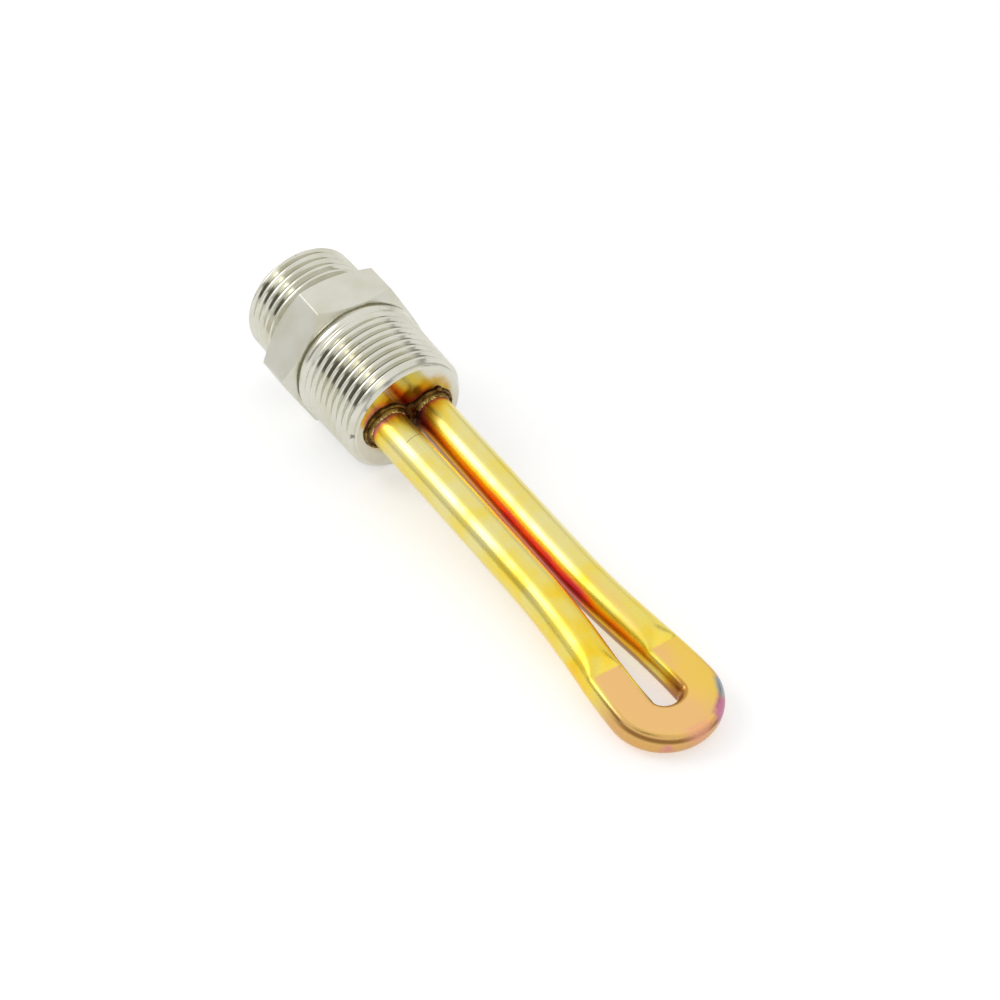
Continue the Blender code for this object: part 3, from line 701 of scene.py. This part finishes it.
def pressed_section(centre, side, half_width, half_height, inset):
    """A round section with its top and bottom pressed flat, its edges a little rounded."""
    points = []
    for angle in turned_angles(SHEATH_SIDES)[:-1]:
        rise = (half_width - inset) * math.sin(angle)
        flat = half_height - inset
        rise /= (1.0 + (abs(rise) / flat) ** PRESSED_EDGE_POWER) ** (1.0 / PRESSED_EDGE_POWER)
        points.append(centre + side * ((half_width - inset) * math.cos(angle)) + Vector((0.0, rise, 0.0)))
    return points


def sheath_shape():
    """Outer and inner skin of the tube, joined at its two mouths, with what the tint needs to know."""
    stations = hairpin_stations()
    shape = bmesh.new()
    inward = shape.verts.layers.float.new("inward")
    upward = shape.verts.layers.float.new("upward")
    skins = {0.0: [], TUBE_WALL: []}
    for index, (centre, half_width, half_height) in enumerate(stations):
        before = stations[max(index - 1, 0)][0]
        after = stations[min(index + 1, len(stations) - 1)][0]
        ahead = (after - before).normalized()
        side = Vector((ahead.z, 0.0, -ahead.x))
        for inset, rings in skins.items():
            ring = []
            section = pressed_section(centre, side, half_width, half_height, inset)
            for angle, point in zip(turned_angles(SHEATH_SIDES), section):
                vertex = shape.verts.new(point)
                vertex[inward] = math.cos(angle)
                vertex[upward] = math.sin(angle)
                ring.append(vertex)
            rings.append(ring)
    outer, inner = skins[0.0], skins[TUBE_WALL]
    loops = list(zip(outer, outer[1:])) + [(outer[-1], inner[-1])]
    loops += list(zip(inner[:0:-1], inner[-2::-1])) + [(inner[0], outer[0])]
    for ring, following in loops:
        for corner in range(SHEATH_SIDES):
            beside = (corner + 1) % SHEATH_SIDES
            shape.faces.new((ring[corner], ring[beside], following[beside], following[corner]))
    bmesh.ops.recalc_face_normals(shape, faces=shape.faces)
    return shape


# Tint of steel by how hot it got, from straw through orange and red to blue and grey
HEAT_TINTS = (
    (0.00, (0.79, 0.71, 0.30, 1.0)),
    (0.12, (0.83, 0.68, 0.14, 1.0)),
    (0.22, (0.88, 0.62, 0.04, 1.0)),
    (0.34, (0.91, 0.45, 0.03, 1.0)),
    (0.45, (0.92, 0.32, 0.09, 1.0)),
    (0.56, (0.84, 0.21, 0.19, 1.0)),
    (0.66, (0.66, 0.14, 0.28, 1.0)),
    (0.80, (0.20, 0.15, 0.34, 1.0)),
    (1.00, (0.30, 0.36, 0.40, 1.0)),
)


def heat_tint_group():
    """The colour that steel takes at a given heat."""
    tree, given, out = new_group("Heat tint", {"Heat": FLOAT}, {"Colour": "NodeSocketColor"})
    ramp = put(tree, "ShaderNodeValToRGB", {"Fac": given["Heat"]})
    elements = ramp.color_ramp.elements
    elements[0].position, elements[0].color = HEAT_TINTS[0]
    elements[1].position, elements[1].color = HEAT_TINTS[-1]
    for position, colour in HEAT_TINTS[1:-1]:
        elements.new(position).color = colour
    tree.links.new(ramp.outputs["Color"], out["Colour"])
    return tree


HEAT_TINT = heat_tint_group()
SCRATCH_DARK = (0.20, 0.15, 0.05, 1.0)
BEND_PEACH = (0.85, 0.52, 0.20, 1.0)
BEND_YELLOW = (0.86, 0.58, 0.11, 1.0)
BEND_SIDE = (0.66, 0.36, 0.14, 1.0)
TAN_PATCH = (0.86, 0.58, 0.24, 1.0)
INNER_SHADE = (0.36, 0.17, 0.08, 1.0)
# A painted dark reflection along the upper edge of the bend's sides
RIM_PAINTED_DARK_REFLECTION = (0.20, 0.085, 0.018, 1.0)
SLOT_BROWN = (0.40, 0.17, 0.065, 1.0)
TUBE_SPECK_TINT = 0.6
SCRATCH_TINT = 0.8
TAN_PATCHES = (0.54, 0.70, 0.42)

# Heat along the legs: where each change starts, where it is complete, and how much heat it adds
CLOUD_HEAT = (0.34, 0.74, 0.18)
TONGUE_HEAT = (0.0075, 0.0018, 0.20)
TONGUE_UNEVEN = 0.0060
BRAZED_HEAT = (0.0026, 0.0008, 0.42)
BRAZED_UNEVEN = 0.0012
LEG_HEAT = (0.034, 0.060, 0.09)
# On the inner sides: heat tint and a painted reflection of the other leg
INNER_HEAT_AND_REFLECTION = 0.30
INNER_MORE = (0.012, 0.045, 0.16)
INNER_LESS = (0.0520, 0.0590, 0.28)
INNER_END = (0.0735, 0.0680)

# Round the tube, inward is 1 towards the other leg and -1 away from it, upward is 1 on top and -1 below
INNER_SIDE = (0.68, 0.92)
SHADED_SIDE = (0.55, 0.85)
SHADED_BELOW = (0.02, -0.14)
OUTER_SIDE = (-0.40, -0.85)
OUTER_EDGE = (-0.40, -0.66)
RIM_SIDE = (-0.30, -0.70)
RIM_FROM_BELOW = (0.20, 0.34)
RIM_FROM_ABOVE = (0.52, 0.42)
SLOT_SIDE = (0.45, 0.85)
FLAT_ABOVE = (0.68, 0.76)
ON_TOP = (0.7, 0.9)

# Where along and across it the bend's colours begin
BEND_COLOUR = (CREASE_PLACE + 0.0005, BEND_START)
RIM_COLOUR = (BEND_START - 0.003, BEND_START + 0.003)
SLOT_COLOUR = (0.0740, 0.0785)
FLAT_COLOUR = (CREASE_PLACE - 0.0002, CREASE_PLACE + 0.0002)
YELLOWER_ACROSS = (0.002, 0.009)
YELLOWER_UNEVEN = 0.012
LEFT_OF_MIDDLE = (0.0, -0.0005)

# Stains at the bend's tip: middle, where they end and are full, strength, colour
TIP_SPOTS = (
    ((0.0000, 0.0022, 0.0876), 0.0044, 0.0010, 0.60, (0.80, 0.36, 0.26, 1.0)),
    ((-0.0062, -0.0004, 0.0871), 0.0018, 0.0005, 0.70, (0.66, 0.24, 0.27, 1.0)),
    ((0.0066, 0.0014, 0.0858), 0.0038, 0.0014, 0.90, (0.52, 0.17, 0.32, 1.0)),
    ((0.0097, 0.0016, 0.0826), 0.0034, 0.0014, 0.95, (0.33, 0.37, 0.42, 1.0)),
)
SCRATCH_PLACE = 0.0071
SCRATCH_SLANT = -0.25
SCRATCH_EDGE = (0.00012, 0.00003)


def tinted_steel():
    material, tree, shader, place = new_material("Heat tinted steel tube")
    across, _, along = split(tree, place)
    inward, upward = stored(tree, "inward"), stored(tree, "upward")
    cloud = noise_at(tree, place, scale=110.0, detail=3.0)
    blotch = noise_at(tree, place, scale=700.0, detail=3.0)
    # Hottest at the brazing: magenta first, then red, orange and gold in tongues a few millimetres long
    tongues = long_noise(tree, place, scales=(700.0, 700.0, 120.0), detail=2.0)
    reach = plus(tree, along, swing(tree, tongues, TONGUE_UNEVEN))
    near_reach = plus(tree, along, swing(tree, blotch, BRAZED_UNEVEN))
    heat = graded(tree, cloud, *CLOUD_HEAT)
    heat = plus(tree, heat, graded(tree, reach, *TONGUE_HEAT))
    heat = plus(tree, heat, graded(tree, near_reach, *BRAZED_HEAT))
    # The legs' inner sides face each other and are redder, more so towards the middle of their length: partly
    # heat tint, partly a painted reflection of the other leg
    inner_heat_and_reflection = plus(tree, INNER_HEAT_AND_REFLECTION, graded(tree, along, *INNER_MORE))
    inner_heat_and_reflection = minus(tree, inner_heat_and_reflection, graded(tree, along, *INNER_LESS))
    inner_heat_and_reflection = times(tree, inner_heat_and_reflection, ease_between(tree, along, *INNER_END))
    heat = plus(tree, heat, graded(tree, along, *LEG_HEAT))
    heat = plus(tree, heat, times(tree, ease_between(tree, inward, *INNER_SIDE), inner_heat_and_reflection))
    colour = use(tree, HEAT_TINT, {"Heat": reckon(tree, "ADD", heat, 0.0, clamp=True)})["Colour"]
    # Tan patches lie along the legs
    patches = long_noise(tree, place, scales=(210.0, 210.0, 55.0), detail=2.0)
    colour = mix_colour(tree, graded(tree, patches, *TAN_PATCHES), colour, TAN_PATCH)
    # Facing each other, the legs' undersides get a painted shade and a painted reflection of the other leg,
    # in dark brown
    under = where_all(tree, (inward, *SHADED_SIDE), (upward, *SHADED_BELOW))
    colour = tint_over(tree, under, STRONG_TINT, colour, INNER_SHADE)
    # The pressed bend is brown on its sides, with a painted dark reflection along its upper edge; it is
    # darker in the slot and peach on its flats
    beside = where_all(tree, (along, *BEND_COLOUR), (inward, *OUTER_SIDE))
    colour = tint_over(tree, beside, STRONG_TINT, colour, BEND_SIDE)
    painted_rim_reflection = where_all(
        tree, (upward, *RIM_FROM_BELOW), (upward, *RIM_FROM_ABOVE), (inward, *RIM_SIDE), (along, *RIM_COLOUR),
    )
    colour = tint_over(tree, painted_rim_reflection, STRONG_TINT, colour, RIM_PAINTED_DARK_REFLECTION)
    slot_end = where_all(tree, (inward, *SLOT_SIDE), (along, *SLOT_COLOUR))
    colour = tint_over(tree, slot_end, STRONG_TINT, colour, SLOT_BROWN)
    flat = where_all(tree, (along, *FLAT_COLOUR), (size_of(tree, upward), *FLAT_ABOVE))
    yellower = plus(tree, across, swing(tree, cloud, YELLOWER_UNEVEN))
    peach = mix_colour(tree, ease_between(tree, yellower, *YELLOWER_ACROSS), BEND_PEACH, BEND_YELLOW)
    colour = mix_colour(tree, flat, colour, peach)
    # Its tip was heated more, to pink, magenta and blue grey on the right
    ragged_place = shaken(tree, place, scale=900.0, amount=0.0018)
    outer_edge = ease_between(tree, inward, *OUTER_EDGE)
    for spot, far, close, strength, tint in TIP_SPOTS:
        stained = times(tree, near_spot(tree, ragged_place, spot, far, close), strength)
        colour = tint_over(tree, stained, outer_edge, colour, tint)
    # One fine scratch runs round the left leg just off the fitting
    specks = use(tree, HANDLING_SPECKS, {"Place": place, "Spacing": 330.0, "Sparse": 0.95})["Mask"]
    ring = plus(tree, SCRATCH_PLACE, times(tree, across, SCRATCH_SLANT))
    line = ease_between(tree, size_of(tree, minus(tree, along, ring)), *SCRATCH_EDGE)
    scratch = times(tree, line, where_all(tree, (across, *LEFT_OF_MIDDLE), (upward, *ON_TOP)))
    marked = either(tree, times(tree, specks, TUBE_SPECK_TINT), times(tree, scratch, SCRATCH_TINT))
    colour = mix_colour(tree, marked, colour, SCRATCH_DARK)
    tree.links.new(colour, shader["Base Color"])
    # Drawn tube: streaks run along it, smoothed away where the press has flattened it
    streaks = long_noise(tree, place, scales=(2600.0, 2600.0, 60.0), detail=3.0)
    drawn = times(tree, minus(tree, streaks, 0.5), minus(tree, 1.0, flat))
    set_gloss(tree, shader, drawn, smoothest=0.24, roughest=0.34, low=-0.2, high=0.2)
    set_bump(tree, shader, drawn, strength=0.15, distance=FINE_RELIEF)
    return material


add_piece("sheath", sheath_shape(), tinted_steel(), "tinted_steel", "heater_sheath")

# The brazing
# Copper alloy melted round both legs where they enter the end face. It stands as a bead round each leg,
# climbs a little up the tube, and runs together between the legs, dark and scaly from the flame. Between
# the legs it is darkened further with painted shade, and its upper edge has painted glints.
BRAZE_BEAD_RADIUS = 0.00490
BRAZE_BEAD_HEIGHT = 0.00060
BRAZE_VALLEY_RADIUS = 0.00452
BRAZE_CLIMB = 0.00120
BRAZE_GRAIN = 0.00010
BRAZE_UNEVEN = 0.00014
BRAZE_SMOOTHINGS = 3
BRAZE_LUMPS = ((430.0, 1.3), (1700.0, 0.6))
BRAZE_SIDES = 96
BRAZE_FOOT = -0.0003
BRAZE_OVERLAP = 0.0002
BRAZE_PROFILE = (
    (TUBE_RADIUS - BRAZE_OVERLAP, BRAZE_FOOT),
    (TUBE_RADIUS - BRAZE_OVERLAP, BRAZE_CLIMB),
    (TUBE_RADIUS + 0.00006, BRAZE_CLIMB),
    (TUBE_RADIUS + 0.00022, BRAZE_CLIMB * 0.62),
    (TUBE_RADIUS + 0.00038, BRAZE_CLIMB * 0.38),
    (BRAZE_VALLEY_RADIUS, BRAZE_BEAD_HEIGHT * 0.55),
    (BRAZE_BEAD_RADIUS - 0.00016, BRAZE_BEAD_HEIGHT * 0.92),
    (BRAZE_BEAD_RADIUS, BRAZE_BEAD_HEIGHT),
    (BRAZE_BEAD_RADIUS + 0.00018, BRAZE_BEAD_HEIGHT * 0.86),
    (BRAZE_BEAD_RADIUS + 0.00034, BRAZE_BEAD_HEIGHT * 0.45),
    (BRAZE_BEAD_RADIUS + 0.00040, 0.0),
    (BRAZE_BEAD_RADIUS + 0.00040, BRAZE_FOOT),
)
BRAZE_DROP_RADIUS = 0.0010
BRAZE_DROPS = (
    ((0.0062, 0.0050, 0.0001), (0.9, 0.6, 0.6)),
    ((0.0, 0.0022, 0.0), (1.3, 1.5, 0.8)),
    ((0.0, -0.0022, 0.0), (1.3, 1.5, 0.8)),
    ((0.0, 0.0002, 0.0), (1.0, 2.4, 1.3)),
    ((-0.0084, 0.0030, 0.0), (0.9, 0.8, 0.5)),
)


def braze_ring(shape, across):
    """The bead round one leg as a closed ring."""
    rings = [[
        shape.verts.new((across + radius * math.cos(angle), radius * math.sin(angle), place))
        for radius, place in BRAZE_PROFILE
    ] for angle in turned_angles(BRAZE_SIDES)[:-1]]
    for ring, following in zip(rings, rings[1:] + rings[:1]):
        for corner in range(len(ring)):
            beside = (corner + 1) % len(ring)
            shape.faces.new((ring[corner], following[corner], following[beside], ring[beside]))


def lumpiness(place):
    """How far the brazing swells or sinks at a place, as a share of BRAZE_UNEVEN."""
    return sum(share * noise.noise(place * scale) for scale, share in BRAZE_LUMPS)


def braze_shape():
    """Both rings and the drops melted into one skin, then made uneven."""
    shape = bmesh.new()
    for across in (-LEG_HALF_SPACING, LEG_HALF_SPACING):
        braze_ring(shape, across)
    for place, proportions in BRAZE_DROPS:
        drop = bmesh.ops.create_icosphere(shape, subdivisions=3, radius=BRAZE_DROP_RADIUS)
        bmesh.ops.scale(shape, verts=drop["verts"], vec=proportions)
        bmesh.ops.translate(shape, verts=drop["verts"], vec=place)
    bmesh.ops.recalc_face_normals(shape, faces=shape.faces)
    rough = mesh_from("braze rings", shape)
    carrier = add_object("braze rings", rough)
    melt = carrier.modifiers.new("Melt", "REMESH")
    melt.mode = "VOXEL"
    melt.voxel_size = BRAZE_GRAIN
    soften = carrier.modifiers.new("Soften", "SMOOTH")
    soften.iterations = BRAZE_SMOOTHINGS
    graph = bpy.context.evaluated_depsgraph_get()
    melted = bmesh.new()
    melted.from_mesh(carrier.evaluated_get(graph).to_mesh())
    bpy.data.objects.remove(carrier)
    bpy.data.meshes.remove(rough)
    melted.normal_update()
    moves = [vertex.normal * BRAZE_UNEVEN * lumpiness(vertex.co) for vertex in melted.verts]
    for vertex, move in zip(melted.verts, moves):
        vertex.co += move
    return melted


# Dark scale, darkened further between the legs as painted shade
BRAZE_DARK_AND_SHADE = (0.050, 0.022, 0.006, 1.0)
BRAZE_OLIVE = (0.24, 0.15, 0.030, 1.0)
# Painted glints on the bead's upper edge
BRAZE_PAINTED_GLINT = (0.72, 0.56, 0.22, 1.0)
SCALE_UNEVEN = 0.0012
SCALE_RELIEF = 0.00006
OLIVE_ABOVE = (0.0002, 0.0008)
BRIGHT_ABOVE = (0.0006, 0.0011)
BRIGHT_GLINTS = (0.50, 0.62)
BRAZE_SHADE_BETWEEN_LEGS = (0.0024, 0.0012)


def brazing_metal():
    material, tree, shader, place = new_material("Brazing metal")
    across, _, along = split(tree, place)
    scale = noise_at(tree, place, scale=900.0, detail=5.0)
    height = plus(tree, along, swing(tree, scale, SCALE_UNEVEN))
    colour = mix_colour(tree, ease_between(tree, height, *OLIVE_ABOVE), BRAZE_DARK_AND_SHADE, BRAZE_OLIVE)
    # Between the legs the brazing is darkened further: painted shade
    between = ease_between(tree, size_of(tree, across), *BRAZE_SHADE_BETWEEN_LEGS)
    colour = tint_over(tree, between, STRONG_TINT, colour, BRAZE_DARK_AND_SHADE)
    # Painted glints: the bead's upper edge is lightened in spots, but not between the legs
    glints = noise_at(tree, place, scale=2200.0, detail=2.0)
    bright = where_all(tree, (height, *BRIGHT_ABOVE), (glints, *BRIGHT_GLINTS))
    colour = tint_over(tree, bright, minus(tree, 1.0, between), colour, BRAZE_PAINTED_GLINT)
    tree.links.new(colour, shader["Base Color"])
    set_gloss(tree, shader, scale, smoothest=0.22, roughest=0.42)
    set_bump(tree, shader, scale, strength=0.4, distance=SCALE_RELIEF)
    return material


add_piece("brazing", braze_shape(), brazing_metal(), "braze", "braze_fillet")

# The contacts
# Turned steel pins with domed tips, bright plated. The two live ones stand side by side in the socket,
# with the longer earth contact below them.
CONTACT_RADIUS = 0.0020
CONTACT_REACH = 0.0085
CONTACT_BACK = 0.0015
GROUND_DROP = 0.0058
GROUND_EXTRA = 0.0015
GROUND_SEAT_DEPTH = 0.0020
SEAT = 0.0003
CONTACT_SIDES = 64
DOME_STEPS = 12
CARRIER_FACE = place_along("socket_floor")


def contact_column(back, tip):
    """A contact from its back to its domed tip, with a fine groove where it leaves the carrier."""
    groove = CARRIER_FACE - SEAT
    column = [
        (0.0, back),
        (CONTACT_RADIUS, back),
        (CONTACT_RADIUS, groove),
        (CONTACT_RADIUS - SEAT / 3.0, groove - SEAT / 3.0),
        (CONTACT_RADIUS - SEAT / 3.0, groove - SEAT),
        (CONTACT_RADIUS, groove - SEAT * 4.0 / 3.0),
    ]
    for step in range(DOME_STEPS + 1):
        angle = math.pi / 2.0 * step / DOME_STEPS
        column.append((CONTACT_RADIUS * math.cos(angle), tip + CONTACT_RADIUS * (1.0 - math.sin(angle))))
    return column


STEEL_DULL = (0.60, 0.60, 0.58, 1.0)
STEEL_BRIGHT = (0.72, 0.71, 0.68, 1.0)


def plated_steel(name, is_laid):
    material, tree, shader, place = new_material(name, is_laid=is_laid)
    marks = use(tree, LATHE_MARKS, {"Place": place, "Rings": 14000.0, "Waver": 1.0})
    tree.links.new(mix_colour(tree, marks["Streaks"], STEEL_DULL, STEEL_BRIGHT), shader["Base Color"])
    set_gloss(tree, shader, marks["Streaks"], smoothest=0.18, roughest=0.30)
    set_bump(tree, shader, marks["Height"], strength=0.2, distance=FINE_RELIEF)
    return material


CONTACT_STEEL = plated_steel("Bright plated steel", is_laid=True)
for name, node, across, up, back, reach in (
    ("contact_left", "contact_pin_left", -LEG_HALF_SPACING, 0.0, SHOULDER + CONTACT_BACK, CONTACT_REACH),
    ("contact_right", "contact_pin_right", LEG_HALF_SPACING, 0.0, SHOULDER + CONTACT_BACK, CONTACT_REACH),
    ("earth_contact", "ground_pin", 0.0, -GROUND_DROP, CHAMBER_TOP + GROUND_SEAT_DEPTH - SEAT,
     CONTACT_REACH + GROUND_EXTRA),
):
    column = contact_column(back, CARRIER_FACE - reach)
    shape = skin_from_columns(turned_columns(lambda angle: column, turned_angles(CONTACT_SIDES)))
    bmesh.ops.translate(shape, verts=shape.verts, vec=(across, up, 0.0))
    add_piece(name, shape, CONTACT_STEEL, "pin_steel", node)

# The pieces whose CAD shape is right
# The carrier is a black phenolic moulding pressed into the socket. Behind it are the resin, the pins and
# their seals, and in the tube the powder and the wire, all hidden once the heater is closed.
MOULDED_GLOSS_SPREAD = 0.06
MOULDED_RELIEF = 0.00003


def moulded_plastic(name, dark, light, grain, roughness):
    material, tree, shader, place = new_material(name, metallic=0.0, is_laid=False)
    mottle = noise_at(tree, place, scale=grain, detail=5.0)
    tree.links.new(mix_colour(tree, mottle, dark, light), shader["Base Color"])
    set_gloss(tree, shader, mottle, roughness - MOULDED_GLOSS_SPREAD, roughness + MOULDED_GLOSS_SPREAD)
    set_bump(tree, shader, mottle, strength=0.3, distance=MOULDED_RELIEF)
    return material


WIRE_DARK = (0.30, 0.28, 0.26, 1.0)
WIRE_LIGHT = (0.48, 0.46, 0.43, 1.0)


def drawn_wire():
    material, tree, shader, place = new_material("Drawn resistance wire", is_laid=False)
    scale = noise_at(tree, place, scale=1500.0, detail=4.0)
    tree.links.new(mix_colour(tree, scale, WIRE_DARK, WIRE_LIGHT), shader["Base Color"])
    set_gloss(tree, shader, scale, smoothest=0.32, roughest=0.46)
    return material


MAGNESIA = moulded_plastic(
    "Pressed magnesia", (0.78, 0.76, 0.70, 1.0), (0.90, 0.88, 0.83, 1.0), grain=2500.0, roughness=0.88,
)
SEAL_BEAD = moulded_plastic(
    "Silicone bead", (0.58, 0.20, 0.11, 1.0), (0.74, 0.31, 0.18, 1.0), grain=900.0, roughness=0.45,
)
PHENOLIC = moulded_plastic(
    "Phenolic moulding", (0.018, 0.017, 0.016, 1.0), (0.040, 0.038, 0.036, 1.0), grain=1100.0, roughness=0.38,
)
RESIN = moulded_plastic(
    "Potting resin", (0.05, 0.05, 0.05, 1.0), (0.11, 0.11, 0.10, 1.0), grain=500.0, roughness=0.40,
)
COLD_PIN_STEEL = plated_steel("Cold pin steel", is_laid=False)
kept_nodes = {
    "contact_carrier": PHENOLIC,
    "potting_compound": RESIN,
    "magnesia_fill": MAGNESIA,
    "end_seal_left": SEAL_BEAD,
    "end_seal_right": SEAL_BEAD,
    "cold_pin_left": COLD_PIN_STEEL,
    "cold_pin_right": COLD_PIN_STEEL,
    "heating_coil": drawn_wire(),
}
for node, material in kept_nodes.items():
    piece = frame["nodes"][node]
    piece.data.materials.clear()
    piece.data.materials.append(material)

# Floor, light and camera
# A pale floor and a white surround. A large soft lamp stands to the camera's left, and cards that only the
# metal's gloss sees, dark ones and bright ones, give it its contrast.
FLOOR_SIZE = 3.0
FLOOR_COLOUR = (0.80, 0.80, 0.80, 1.0)
FLOOR_GLOW = 0.45
FLOOR_ROUGHNESS = 0.9
SURROUND_LEVEL = 0.65
EYE = Vector((-0.14423, 0.21005, 0.18045))
AIM = Vector((0.002846, 0.0, 0.026765))
ROLL = math.radians(5.27)
LENS = 57.75
WHITE = (1.0, 1.0, 1.0, 1.0)
BLACK = (0.0, 0.0, 0.0, 1.0)


def seen_directly(tree):
    """1 where the camera, a gloss or glass looks, 0 for soft light."""
    ray = tree.nodes.new("ShaderNodeLightPath").outputs
    return either(tree, either(tree, ray["Is Camera Ray"], ray["Is Glossy Ray"]), ray["Is Transmission Ray"])


def dull_material(name, base, glow):
    """A material without a sheen that can give light of its own: returns it, its tree and its inputs."""
    material, tree, shader, _ = new_material(name, metallic=0.0)
    shader["Base Color"].default_value = base
    shader["Specular IOR Level"].default_value = 0.0
    shader["Emission Color"].default_value = glow
    return material, tree, shader


def add_sheet(name, width, height, material):
    """A flat rectangle of one material."""
    shape = bmesh.new()
    bmesh.ops.create_grid(shape, x_segments=1, y_segments=1, size=0.5)
    bmesh.ops.scale(shape, verts=shape.verts, vec=(width, height, 1.0))
    sheet = add_object(name, mesh_from(name, shape))
    sheet.data.materials.append(material)
    return sheet


paper, tree, shader = dull_material("Pale paper", FLOOR_COLOUR, WHITE)
shader["Roughness"].default_value = FLOOR_ROUGHNESS
tree.links.new(times(tree, seen_directly(tree), FLOOR_GLOW), shader["Emission Strength"])
floor = add_sheet("floor", FLOOR_SIZE, FLOOR_SIZE, paper)

world = bpy.data.worlds.new("White surround")
bpy.context.scene.world = world
world.use_nodes = True
tree = world.node_tree
level = put(tree, "ShaderNodeMapRange", {
    "Value": seen_directly(tree), "To Min": SURROUND_LEVEL, "To Max": 1.0,
})
backdrop = tree.nodes["Background"].inputs
backdrop["Color"].default_value = WHITE
tree.links.new(level.outputs["Result"], backdrop["Strength"])

# Directions in which things stand round the heater, as turns from +X and heights above the floor
HEATER_MIDDLE = Vector((0.0, 0.0, 0.012))


def direction(turn, rise):
    turn, rise = math.radians(turn), math.radians(rise)
    return Vector((math.cos(turn) * math.cos(rise), math.sin(turn) * math.cos(rise), math.sin(rise)))


def add_lamp(name, turn, rise, distance, width, height, level):
    """A soft box facing the heater. Its level is how bright it looks, 1 being white."""
    data = bpy.data.lights.new(name, "AREA")
    data.shape = "RECTANGLE"
    data.size = width
    data.size_y = height
    data.energy = level * math.pi * width * height
    lamp = add_object(name, data)
    towards = direction(turn, rise)
    lamp.location = HEATER_MIDDLE + towards * distance
    lamp.rotation_euler = towards.to_track_quat("Z", "Y").to_euler()


CARD_COLOUR = (1.0, 0.97, 0.84, 1.0)
CARD_DISTANCE = 0.5
# Each card's name, turn, rise, width, height and tone
CARDS = (
    ("camera shade", -40.0, 50.0, 0.24, 0.14, 0.15),
    ("bright card", -4.0, 3.5, 0.10, 0.07, 1.7),
    ("grey card", 42.0, 2.0, 0.10, 0.07, 0.30),
    ("low card", -126.0, 0.0, 0.26, 0.07, 0.12),
    ("back card", 165.0, 2.0, 0.40, 0.09, 0.06),
    ("right card", 87.0, 33.0, 0.09, 0.20, 0.24),
    ("side card", -105.0, 18.5, 0.18, 0.29, 0.13),
    ("front card", 48.0, 47.0, 0.40, 0.20, 1.15),
    ("far card", 123.0, 16.0, 0.22, 0.10, 0.66),
)
TABLE_CARD_PLACE = Vector((0.125, -0.073, 0.0095))
TABLE_CARD_FACING = Vector((-0.07, 0.0, 1.0))


def add_card(name, place, facing, width, height, tone):
    """A card that only the metal's gloss can see."""
    material, _, shader = dull_material(name, BLACK, CARD_COLOUR)
    shader["Emission Strength"].default_value = tone
    card = add_sheet(name, width, height, material)
    card.location = place
    card.rotation_euler = facing.to_track_quat("Z", "Y").to_euler()
    card.visible_camera = False
    card.visible_diffuse = False
    card.visible_shadow = False


add_lamp("key lamp", turn=-130.0, rise=43.0, distance=0.6, width=0.26, height=0.28, level=2.8)
for name, turn, rise, width, height, tone in CARDS:
    towards = direction(turn, rise)
    add_card(name, HEATER_MIDDLE + towards * CARD_DISTANCE, towards, width, height, tone)
add_card("table card", TABLE_CARD_PLACE, TABLE_CARD_FACING, width=0.29, height=0.100, tone=0.17)

camera_data = bpy.data.cameras.new("camera")
camera_data.lens = LENS
camera = add_object("camera", camera_data)
camera.location = LAID @ EYE
look = LAID @ AIM - camera.location
camera.rotation_mode = "QUATERNION"
camera.rotation_quaternion = look.to_track_quat("-Z", "Y") @ Quaternion((0.0, 0.0, 1.0), ROLL)
bpy.context.scene.camera = camera
bpy.context.scene.view_settings.view_transform = "Standard"
